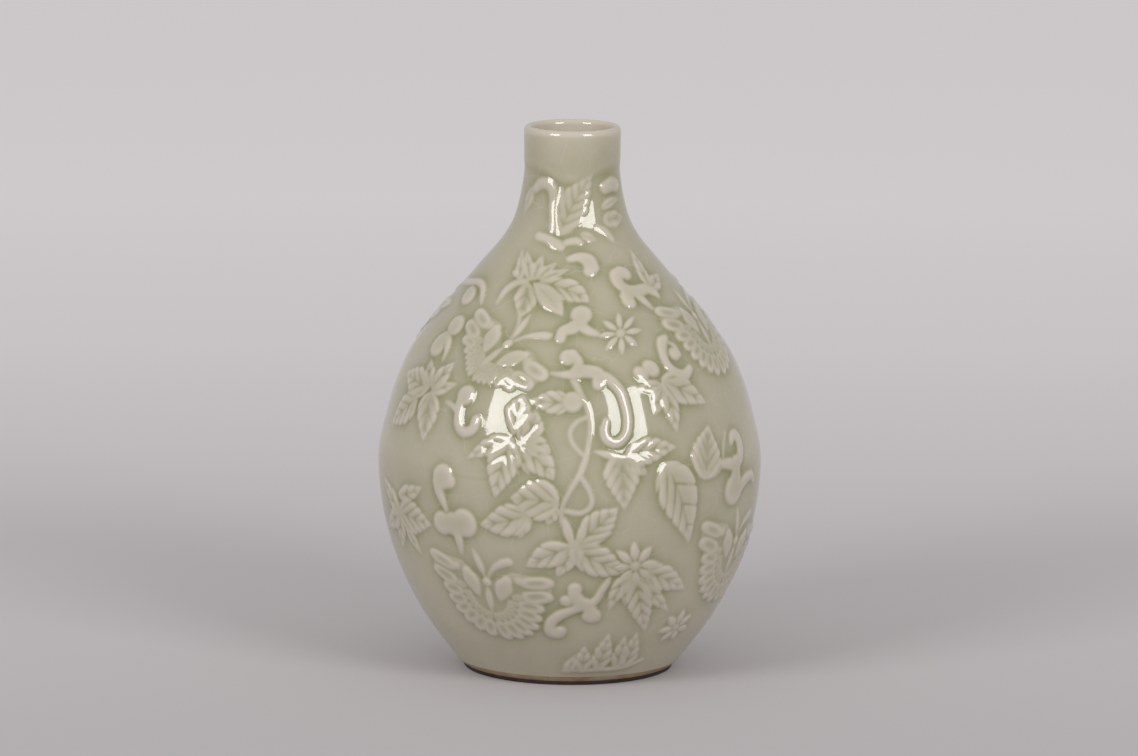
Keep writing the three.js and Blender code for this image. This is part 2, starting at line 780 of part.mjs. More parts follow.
function neck() {
  const collar = HEIGHT - COLLAR_HEIGHT;
  const lipRound = LIP_WALL / 2;
  const ground = outerWall(heights(SEAM_NECK, collar - COLLAR_BEVEL, 4));
  const collarRadius = groundRadius(collar) + COLLAR_STEP;
  const lipOuter = groundRadius(HEIGHT) + COLLAR_STEP;
  const inner = innerWall(heights(SEAM_NECK, collar, 3));
  return revolve([
    ...ground,
    [collarRadius, collar],
    [lipOuter, HEIGHT - lipRound],
    [lipOuter - 0.35 * LIP_WALL, HEIGHT],
    [lipOuter - 0.75 * LIP_WALL, HEIGHT],
    [lipOuter - LIP_WALL, HEIGHT - lipRound],
    ...inner,
    ground[0],
  ]);
}

function footRing() {
  const inner = FOOT_RADIUS - FOOT_RING_WIDTH;
  const profile = [
    [inner + FOOT_INNER_CHAMFER, 0],
    [FOOT_RADIUS, 0],
    [FOOT_RADIUS + 0.3, FOOT_TREAD_HEIGHT],
    [HEEL_RADIUS, FOOT_HEIGHT],
    [inner, FOOT_HEIGHT],
    [inner, FOOT_INNER_CHAMFER],
  ];
  return revolve([...profile, profile[0]]);
}

/** A sprig of the layout, laid on the wall at a turn in degrees. */
function sprig({ row, column, shapes }, turn) {
  const map = wallMap(row, column, turn);
  return join(shapes.map((shape) => shape(map)));
}

const vase = new THREE.Group();

function addPiece(name, geometry, material) {
  const mesh = new THREE.Mesh(geometry, material);
  mesh.name = name;
  vase.add(mesh);
}

addPiece("foot_ring", footRing(), BARE_FOOT);
addPiece("lower_body", lowerBody(), GLAZED_WALL);
addPiece("upper_body", upperBody(), GLAZED_WALL);
addPiece("neck", neck(), GLAZED_NECK);

for (let layout = 0; layout < LAYOUTS; layout++) {
  const side = layout === 0 ? "front" : "back";
  for (const drawing of SPRIGS) {
    const turn = (360 / LAYOUTS) * layout;
    addPiece(`${drawing.name}_${side}`, sprig(drawing, turn), GLAZED_RELIEF);
  }
}

export default vase;
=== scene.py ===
"""Celadon baluster vase with sprigged relief, dressed in glaze for the render.

The turned wall and the foot ring are spun from their profiles. Every sprig is drawn flat, as
leaves, petals, scrolls, vines and wings, and its pad of clay is laid on the wall's curve.
Sizes are in millimetres and become metres where a mesh is made. The vase stands on z = 0 and
the middle of its front faces -Y. Angles round the wall grow towards +X, from -Y.
"""

import logging
import math
from dataclasses import dataclass, field
from enum import Enum
from functools import cached_property

import bpy
import numpy as np
from mathutils import Euler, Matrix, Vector


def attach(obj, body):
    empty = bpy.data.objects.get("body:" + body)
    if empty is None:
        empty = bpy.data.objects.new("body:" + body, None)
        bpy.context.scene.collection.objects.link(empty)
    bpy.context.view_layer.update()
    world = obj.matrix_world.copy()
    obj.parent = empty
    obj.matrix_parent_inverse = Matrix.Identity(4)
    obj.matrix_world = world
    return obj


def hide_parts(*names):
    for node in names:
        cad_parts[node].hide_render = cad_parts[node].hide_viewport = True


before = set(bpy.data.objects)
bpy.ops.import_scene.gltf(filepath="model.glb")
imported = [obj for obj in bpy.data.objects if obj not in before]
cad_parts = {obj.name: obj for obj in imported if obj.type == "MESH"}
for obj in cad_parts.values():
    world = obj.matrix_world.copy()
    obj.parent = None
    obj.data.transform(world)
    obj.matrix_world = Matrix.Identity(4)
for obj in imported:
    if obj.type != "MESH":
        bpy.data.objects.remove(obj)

LOG = logging.getLogger("vase")

MM = 0.001
PHOTO_WIDTH = 1138
BODY = "root"

Grid = np.ndarray
Point = tuple[float, ...]
Colour = tuple[int, int, int]
Piece = bpy.types.Object
Built = tuple[Piece, str, str]
Socket = bpy.types.NodeSocket


class Row(Enum):
    """Rows of the relief layout, by their distance along the wall's curve from the foot."""

    FOOT = 37.1
    MIDDLE = 79.1
    UPPER = 125.0
    SHOULDER = 166.5
    NECK = 213.4


@dataclass(frozen=True)
class Carving:
    """How deep the face of a leaf is cut, in shares of its height.

    The scallop is a share of the half width, by which the leaf narrows at a side vein.
    """

    groove: float
    dish: float = 0.0
    veins: float = 0.0
    most: float = 1.0
    scallop: float = 0.0


class Veining(Enum):
    """How the face of a leaf or petal is carved."""

    SMOOTH = Carving(groove=0.18)
    VEINED = Carving(groove=0.34, dish=0.24, veins=0.6, most=0.75, scallop=0.13)
    CUPPED = Carving(groove=0.15, dish=0.62, veins=0.42, most=0.8, scallop=0.13)


class Side(Enum):
    """The two faces of the vase that carry the layout, by their turn in degrees."""

    front = 0
    back = 180


# The wall


@dataclass(frozen=True)
class WallProfile:
    """Outer profile of the relief ground: a smooth curve of radius over height."""

    foot_height: float = 4.2
    belly_seam: float = 92.0
    neck_seam: float = 190.0
    height: float = 230.0
    knots: tuple[Point, ...] = (
        (4.2, 47.4), (23.96, 61.72), (49.86, 73.87), (77.95, 80.1), (92.0, 80.52),
        (107.97, 77.28), (121.99, 73.2), (136.0, 66.7), (147.96, 58.08), (160.01, 48.0),
        (171.97, 37.92), (184.02, 28.0), (190.0, 24.7), (198.0, 22.21), (208.0, 20.4),
        (230.0, 20.0),
    )
    samples: int = 2400

    @cached_property
    def table(self) -> dict[str, Grid]:
        """Height, radius, rise along the curve and unit tangent at even heights."""
        z, r = np.array(self.knots).T
        chord = np.diff(r) / np.diff(z)
        span = np.diff(z)
        inner = (chord[:-1] * span[1:] + chord[1:] * span[:-1]) / (span[1:] + span[:-1])
        slope = np.concatenate(([chord[0]], inner, [chord[-1]]))
        height = np.linspace(z[0], z[-1], self.samples)
        k = np.clip(np.searchsorted(z, height) - 1, 0, len(span) - 1)
        t = (height - z[k]) / span[k]
        radius = (
            (2 * t**3 - 3 * t**2 + 1) * r[k]
            + (t**3 - 2 * t**2 + t) * span[k] * slope[k]
            + (3 * t**2 - 2 * t**3) * r[k + 1]
            + (t**3 - t**2) * span[k] * slope[k + 1]
        )
        step = np.hypot(np.diff(height), np.diff(radius))
        rise = np.concatenate(([0.0], np.cumsum(step)))
        lean = np.gradient(radius, height)
        size = np.hypot(lean, 1.0)
        return {
            "height": height, "radius": radius, "rise": rise,
            "out": lean / size, "up": 1.0 / size,
        }

    @property
    def total_rise(self) -> float:
        """Length of the curve from the foot to the lip."""
        return float(self.table["rise"][-1])

    def at_rise(self, rise: Grid, name: str) -> Grid:
        """One of the table's columns at distances along the curve."""
        return np.interp(rise, self.table["rise"], self.table[name])

    def at_height(self, height: Grid, name: str) -> Grid:
        """One of the table's columns at heights."""
        return np.interp(height, self.table["height"], self.table[name])

    def place(self, angle: Grid, rise: Grid, stand: Grid) -> Grid:
        """Points that stand off the wall.

        Args:
            angle: Angles round the wall in radians, from the front.
            rise: Distances along the curve from the foot.
            stand: Distances off the wall, square to it.

        Returns:
            An array of points with x, y and z in its last axis.
        """
        radius = self.at_rise(rise, "radius") + stand * self.at_rise(rise, "up")
        height = self.at_rise(rise, "height") - stand * self.at_rise(rise, "out")
        return np.stack([radius * np.sin(angle), -radius * np.cos(angle), height], axis=-1)


WALL = WallProfile()


# Relief shapes, drawn flat: x to the right, y up, heights off the wall


def rounded(inside: Grid, top: float | Grid, rise: float) -> Grid:
    """Height of a pillow's edge.

    Args:
        inside: Distance in from the outline, negative outside it.
        top: Height of the pillow.
        rise: Distance in which the edge rounds up to the top.

    Returns:
        Heights, 0 outside the outline.
    """
    share = np.clip(inside / rise, 0.0, 1.0)
    return top * (1.0 - (1.0 - share) ** 2) ** 0.8


def bell(distance: Grid, reach: float, power: float = 2.0) -> Grid:
    """1 in the middle of a groove or hollow, falling to nothing past its reach."""
    return np.exp(-((distance / reach) ** power))


def blur_weights(places: Grid, reach: float) -> Grid:
    """How much each place takes of every other in a blur over a reach, one row for each."""
    gap = places[:, None] - places[None, :]
    weights = np.exp(-0.5 * (gap / reach) ** 2)
    return weights / weights.sum(axis=1, keepdims=True)


def smooth_path(points: list[Point], steps: int = 6) -> Grid:
    """A smooth line through points, with whatever else each point holds carried along.

    Args:
        points: The points to pass through.
        steps: Pieces that each stretch is cut into.

    Returns:
        The line's points, one in each row.
    """
    knots = np.array(points, dtype=float)
    ends = np.vstack([2 * knots[0] - knots[1], knots, 2 * knots[-1] - knots[-2]])
    stretches = []
    for a, b, c, d in zip(ends[:-3], ends[1:-2], ends[2:-1], ends[3:]):
        t = np.linspace(0.0, 1.0, steps, endpoint=False)[:, None]
        stretches.append(
            0.5 * (2 * b + (c - a) * t + (2 * a - 5 * b + 4 * c - d) * t**2
                   + (3 * b - a - 3 * c + d) * t**3)
        )
    return np.vstack([*stretches, knots[-1:]])


def along_path(path: Grid, x: Grid, y: Grid) -> tuple[Grid, Grid, Grid]:
    """Where points lie beside a line.

    Args:
        path: The line's points, x and y in the first two columns.
        x: Points' x.
        y: Points' y.

    Returns:
        The share of the line's length, the signed side distance and the distance.
    """
    share = np.zeros_like(x)
    side = np.zeros_like(x)
    nearest = np.full_like(x, np.inf)
    steps = np.diff(path[:, :2], axis=0)
    lengths = np.maximum(np.hypot(steps[:, 0], steps[:, 1]), 1e-6)
    starts = np.concatenate(([0.0], np.cumsum(lengths)))
    for start, step, length, before in zip(path[:-1, :2], steps, lengths, starts):
        dx, dy = x - start[0], y - start[1]
        f = np.clip((dx * step[0] + dy * step[1]) / length**2, 0.0, 1.0)
        distance = np.hypot(dx - f * step[0], dy - f * step[1])
        closer = distance < nearest
        nearest = np.where(closer, distance, nearest)
        share = np.where(closer, (before + f * length) / starts[-1], share)
        side = np.where(closer, (step[0] * dy - step[1] * dx) / length, side)
    return share, side, nearest


@dataclass(frozen=True)
class Ball:
    """A round pillow, as at the end of a scroll."""

    x: float
    y: float
    radius: float
    top: float = 1.5
    edge: float = 1.7
    droop: float = 0.12

    def bounds(self) -> Point:
        """Lowest x, lowest y, highest x and highest y."""
        r = self.radius
        return (self.x - r, self.y - r, self.x + r, self.y + r)

    def height(self, x: Grid, y: Grid) -> Grid:
        """Heights at points."""
        inside = self.radius - np.hypot(x - self.x, y - self.y)
        crown = 1.0 - self.droop * (1.0 - np.clip(inside / self.radius, 0.0, 1.0)) ** 2
        return rounded(inside, self.top * crown, self.edge)


@dataclass(frozen=True)
class Stroke:
    """A rounded band along a line of points, each x, y and half width."""

    points: list[Point]
    top: float = 1.5
    edge: float = 1.6
    steepest: float = 0.75

    @cached_property
    def path(self) -> Grid:
        """The smooth line with its half widths."""
        return smooth_path(self.points)

    def bounds(self) -> Point:
        """Lowest x, lowest y, highest x and highest y."""
        x, y, half = self.path.T
        return (min(x - half), min(y - half), max(x + half), max(y + half))

    def height(self, x: Grid, y: Grid) -> Grid:
        """Heights at points: a thin band stays lower."""
        share, _, distance = along_path(self.path, x, y)
        steps = np.hypot(*np.diff(self.path[:, :2], axis=0).T)
        marks = np.concatenate(([0.0], np.cumsum(steps))) / steps.sum()
        half = np.interp(share, marks, self.path[:, 2])
        return rounded(half - distance, np.minimum(self.top, self.steepest * half), self.edge)


def vine(points: list[Point]) -> Stroke:
    """A thin stem, lower than a scroll."""
    return Stroke(points, top=1.15)


@dataclass(frozen=True)
class Leaf:
    """A pointed leaf or petal from its base to its tip, its edge scalloped by the side veins."""

    base: Point
    tip: Point
    width: float
    bend: float = 0.0
    veining: Veining = Veining.VEINED
    peak: float = 0.4
    top: float = 1.5
    vein_gap: float = 6.4
    twist: float = 0.0
    slant: float = 1.4
    vein_width: float = 0.5
    dish_reach: float = 0.55
    plain_width: float = 4.0
    edge: float = 1.2

    @cached_property
    def length(self) -> float:
        """Straight distance from base to tip."""
        return math.dist(self.base, self.tip)

    @cached_property
    def midrib(self) -> Grid:
        """The bowed line from base to tip."""
        t = np.linspace(0.0, 1.0, 11)[:, None]
        run = np.subtract(self.tip, self.base)
        across = np.array([-run[1], run[0]]) / self.length
        return np.array(self.base) + run * t + across * (4 * self.bend * t * (1 - t))

    def bounds(self) -> Point:
        """Lowest x, lowest y, highest x and highest y."""
        x, y = self.midrib.T
        half = self.width / 2
        return (min(x) - half, min(y) - half, max(x) + half, max(y) + half)

    def half_width(self, share: Grid) -> Grid:
        """Distance from the midrib to the edge at shares of the length."""
        t = np.clip(share, 0.0, 1.0)
        arch = np.sin(np.pi * t ** (math.log(0.5) / math.log(self.peak)))
        return 0.5 * self.width * np.clip(arch, 0.0, 1.0) ** 0.8 * (1.0 - 0.4 * t**3)

    def vein_distance(self, share: Grid, side: Grid) -> Grid:
        """Distance to the nearest side vein: each leans to the tip, more so where twisted."""
        gap = self.length / max(2, round(self.length / self.vein_gap))
        lean = self.slant - self.twist * np.sign(side)
        place = (share * self.length - lean * np.abs(side)) / gap
        return gap * np.abs(place - np.round(place)) / np.hypot(1.0, lean)

    def height(self, x: Grid, y: Grid) -> Grid:
        """Heights at points: the veins run out at both ends, and a narrow leaf has none."""
        cut = self.veining.value
        share, side, distance = along_path(self.midrib, x, y)
        ends = np.clip(5.0 * share, 0.0, 1.0) * np.clip(5.0 * (1.0 - share), 0.0, 1.0)
        broad = np.clip(self.width / self.plain_width - 1.0, 0.0, 1.0)
        valley = broad * bell(self.vein_distance(share, side), self.vein_width) * ends
        half = self.half_width(share) * (1.0 - cut.scallop * valley)
        crown = self.top * (0.75 + 0.25 * np.sin(np.pi * share**0.7))
        body = rounded(half - distance, crown, min(self.edge, 0.3 * self.width))
        out = distance / np.maximum(half, 0.3)
        midrib_cut = cut.groove * bell(side, self.vein_width) * ends
        dish_cut = cut.dish * bell(out, self.dish_reach) * ends
        vein_cut = cut.veins * valley * np.clip(1.2 - 0.5 * out, 0.0, 1.0)
        return body * (1.0 - np.minimum(midrib_cut + dish_cut + vein_cut, cut.most))


@dataclass(frozen=True)
class Cell:
    """One cell of a wing: an oval with a raised rim round a hollow."""

    x: float
    y: float
    angle: float
    length: float
    width: float
    hollow: float = 0.45
    top: float = 1.5

    def height(self, x: Grid, y: Grid) -> Grid:
        """Heights at points: the oval is blunt at its two ends."""
        c, s = math.cos(self.angle), math.sin(self.angle)
        dx, dy = x - self.x, y - self.y
        along = (c * dx + s * dy) / (self.length / 2)
        across = (c * dy - s * dx) / (self.width / 2)
        out = (np.abs(along) ** 3.0 + np.abs(across) ** 2.2) ** 0.4
        inside = (1.0 - out) * self.width / 2
        return rounded(inside, self.top, 1.0) * (1.0 - self.hollow * bell(out, 0.5, 3))


@dataclass(frozen=True)
class Wings:
    """Outline of a butterfly's wings: reaches in millimetres and angles in degrees."""

    tip: float
    tip_angle: float
    tip_spread: float
    hind: float
    end_angle: float = -86.0
    level_angle: float = 25.0
    tip_room: float = 11.0
    end_room: float = 6.0

    def reach(self, angle: Grid) -> Grid:
        """Distance from the body to the wing's edge at angles in degrees."""
        past = (self.tip_angle - angle) / self.tip_spread
        return self.hind + (self.tip - self.hind) * np.exp(-(past**2))

    @property
    def rake(self) -> float:
        """Turn of the leading edge in radians, 0 where the wing's tip is at its level angle."""
        return math.radians(self.tip_angle - self.level_angle)

    def raked(self, x: Grid, y: Grid, way: int = 1) -> tuple[Grid, Grid]:
        """Points turned about the body with the leading edge, or back again with way -1."""
        c, s = math.cos(way * self.rake), math.sin(way * self.rake)
        return c * x - s * y, s * x + c * y


@dataclass(frozen=True)
class Butterfly:
    """A butterfly seen from above, its two sides alike, its head up at turn 0."""

    x: float
    y: float
    turn: float
    wings: Wings
    cells: int = 7
    crowding: float = 1.16
    widest_cell: float = 6.8

    def bounds(self) -> Point:
        """Lowest x, lowest y, highest x and highest y."""
        r = self.wings.tip + 2.0
        return (self.x - r, self.y - r, self.x + r, self.y + r)

    @cached_property
    def shapes(self) -> list:
        """The right half's shapes: a drop, a ball, a long cell at the front, and two fans."""
        wings, tip = self.wings, self.wings.tip
        drop = [(4.8, 0.0, 1.5), (6.2, 4.2, 3.7), (7.8, 7.6, 4.1), (9.2, 10.4, 2.6)]
        lean = math.radians(13.0) + wings.rake
        fan = [
            Stroke([(*wings.raked(x, y), half) for x, y, half in drop]),
            Ball(*wings.raked(0.45 * tip, 0.36 * tip), 2.6, 1.3),
            Cell(*wings.raked(0.68 * tip, 0.38 * tip), lean, 0.5 * tip, 6.2),
        ]
        first, last = wings.tip_angle - wings.tip_room, wings.end_angle + wings.end_room
        gap = math.radians(first - last) / (self.cells - 1)
        for i in range(self.cells):
            turn = math.radians(first) - gap * i
            c, s = math.cos(turn), math.sin(turn)
            reach = float(wings.reach(math.degrees(turn)))
            length = 0.5 * reach
            width = min(self.crowding * gap * 0.84 * reach, self.widest_cell)
            outer, inner = reach - length / 2, reach - length - 1.5
            fan.append(Cell(outer * c, outer * s, turn, length, width))
            fan.append(Cell(inner * c, inner * s, turn, 5.4, 3.6, 0.3, 1.35))
        return fan

    @cached_property
    def trunk(self) -> list:
        """Body, head and the two feelers."""
        return [
            Leaf((0.0, -11.0), (0.0, 7.0), 4.2, 0.0, Veining.SMOOTH, 0.65, 1.7),
            Ball(0.0, 7.6, 2.3, 1.8),
            vine([(-0.7, 10.0, 0.9), (-2.8, 15.6, 1.9), (-5.6, 21.6, 0.8)]),
            vine([(0.7, 10.0, 0.9), (3.4, 14.6, 1.3), (7.4, 18.0, 2.0), (10.6, 19.6, 2.0)]),
        ]

    def height(self, x: Grid, y: Grid) -> Grid:
        """Heights at points: a low web of wing under the shapes."""
        turn = math.radians(self.turn)
        dx, dy = x - self.x, y - self.y
        own_x = math.cos(turn) * dx + math.sin(turn) * dy
        own_y = math.cos(turn) * dy - math.sin(turn) * dx
        half_x = np.abs(own_x)
        angle = np.degrees(np.arctan2(own_y, half_x))
        web = self.wings.reach(angle) - 1.2 - np.hypot(own_x, own_y)
        lead_x, lead_y = self.wings.raked(half_x, own_y, -1)
        leading = np.minimum(6.0 + 0.8 * lead_x, 0.48 * self.wings.tip) - lead_y
        total = rounded(np.minimum(web, leading), 0.55, 1.5)
        for shape in self.shapes:
            total = np.maximum(total, shape.height(half_x, own_y))
        for shape in self.trunk:
            total = np.maximum(total, shape.height(own_x, own_y))
        return total


def blossom(x: float, y: float, radius: float, petals: int, first: float, width: float) -> list:
    """Petals round a button.

    Args:
        x: Centre.
        y: Centre.
        radius: Reach of the petals.
        petals: How many there are.
        first: Angle of the first petal in degrees.
        width: Width of a petal.

    Returns:
        The shapes.
    """
    shapes: list = [Ball(x, y, 0.24 * radius, 1.3)]
    for i in range(petals):
        turn = math.radians(first + 360.0 * i / petals)
        c, s = math.cos(turn), math.sin(turn)
        base = (x + 0.14 * radius * c, y + 0.14 * radius * s)
        tip = (x + radius * c, y + radius * s)
        shapes.append(Leaf(base, tip, width, 0.0, Veining.SMOOTH, 0.5))
    return shapes


@dataclass(frozen=True)
class Drawing:
    """One sprig of the layout: its name, row, column in degrees and shapes."""

    name: str
    row: Row
    column: float
    shapes: list

    def bounds(self, margin: float) -> Point:
        """Lowest x, lowest y, highest x and highest y, with a margin."""
        low_x, low_y, high_x, high_y = np.array([shape.bounds() for shape in self.shapes]).T
        return (
            min(low_x) - margin, min(low_y) - margin,
            max(high_x) + margin, max(high_y) + margin,
        )

    def height(self, x: Grid, y: Grid) -> Grid:
        """Heights at points: the highest shape shows."""
        total = np.zeros_like(x)
        for shape in self.shapes:
            low_x, low_y, high_x, high_y = shape.bounds()
            near = (x > low_x) & (x < high_x) & (y > low_y) & (y < high_y)
            if near.any():
                total[near] = np.maximum(total[near], shape.height(x[near], y[near]))
        return total


ROUND = Wings(31.5, 25.0, 18.0, 22.2)
SMALL = Wings(29.0, 25.0, 20.0, 20.5)
SWEPT = Wings(28.5, 14.0, 31.0, 12.5)
CUPPED, SMOOTH, VEINED = Veining.CUPPED, Veining.SMOOTH, Veining.VEINED

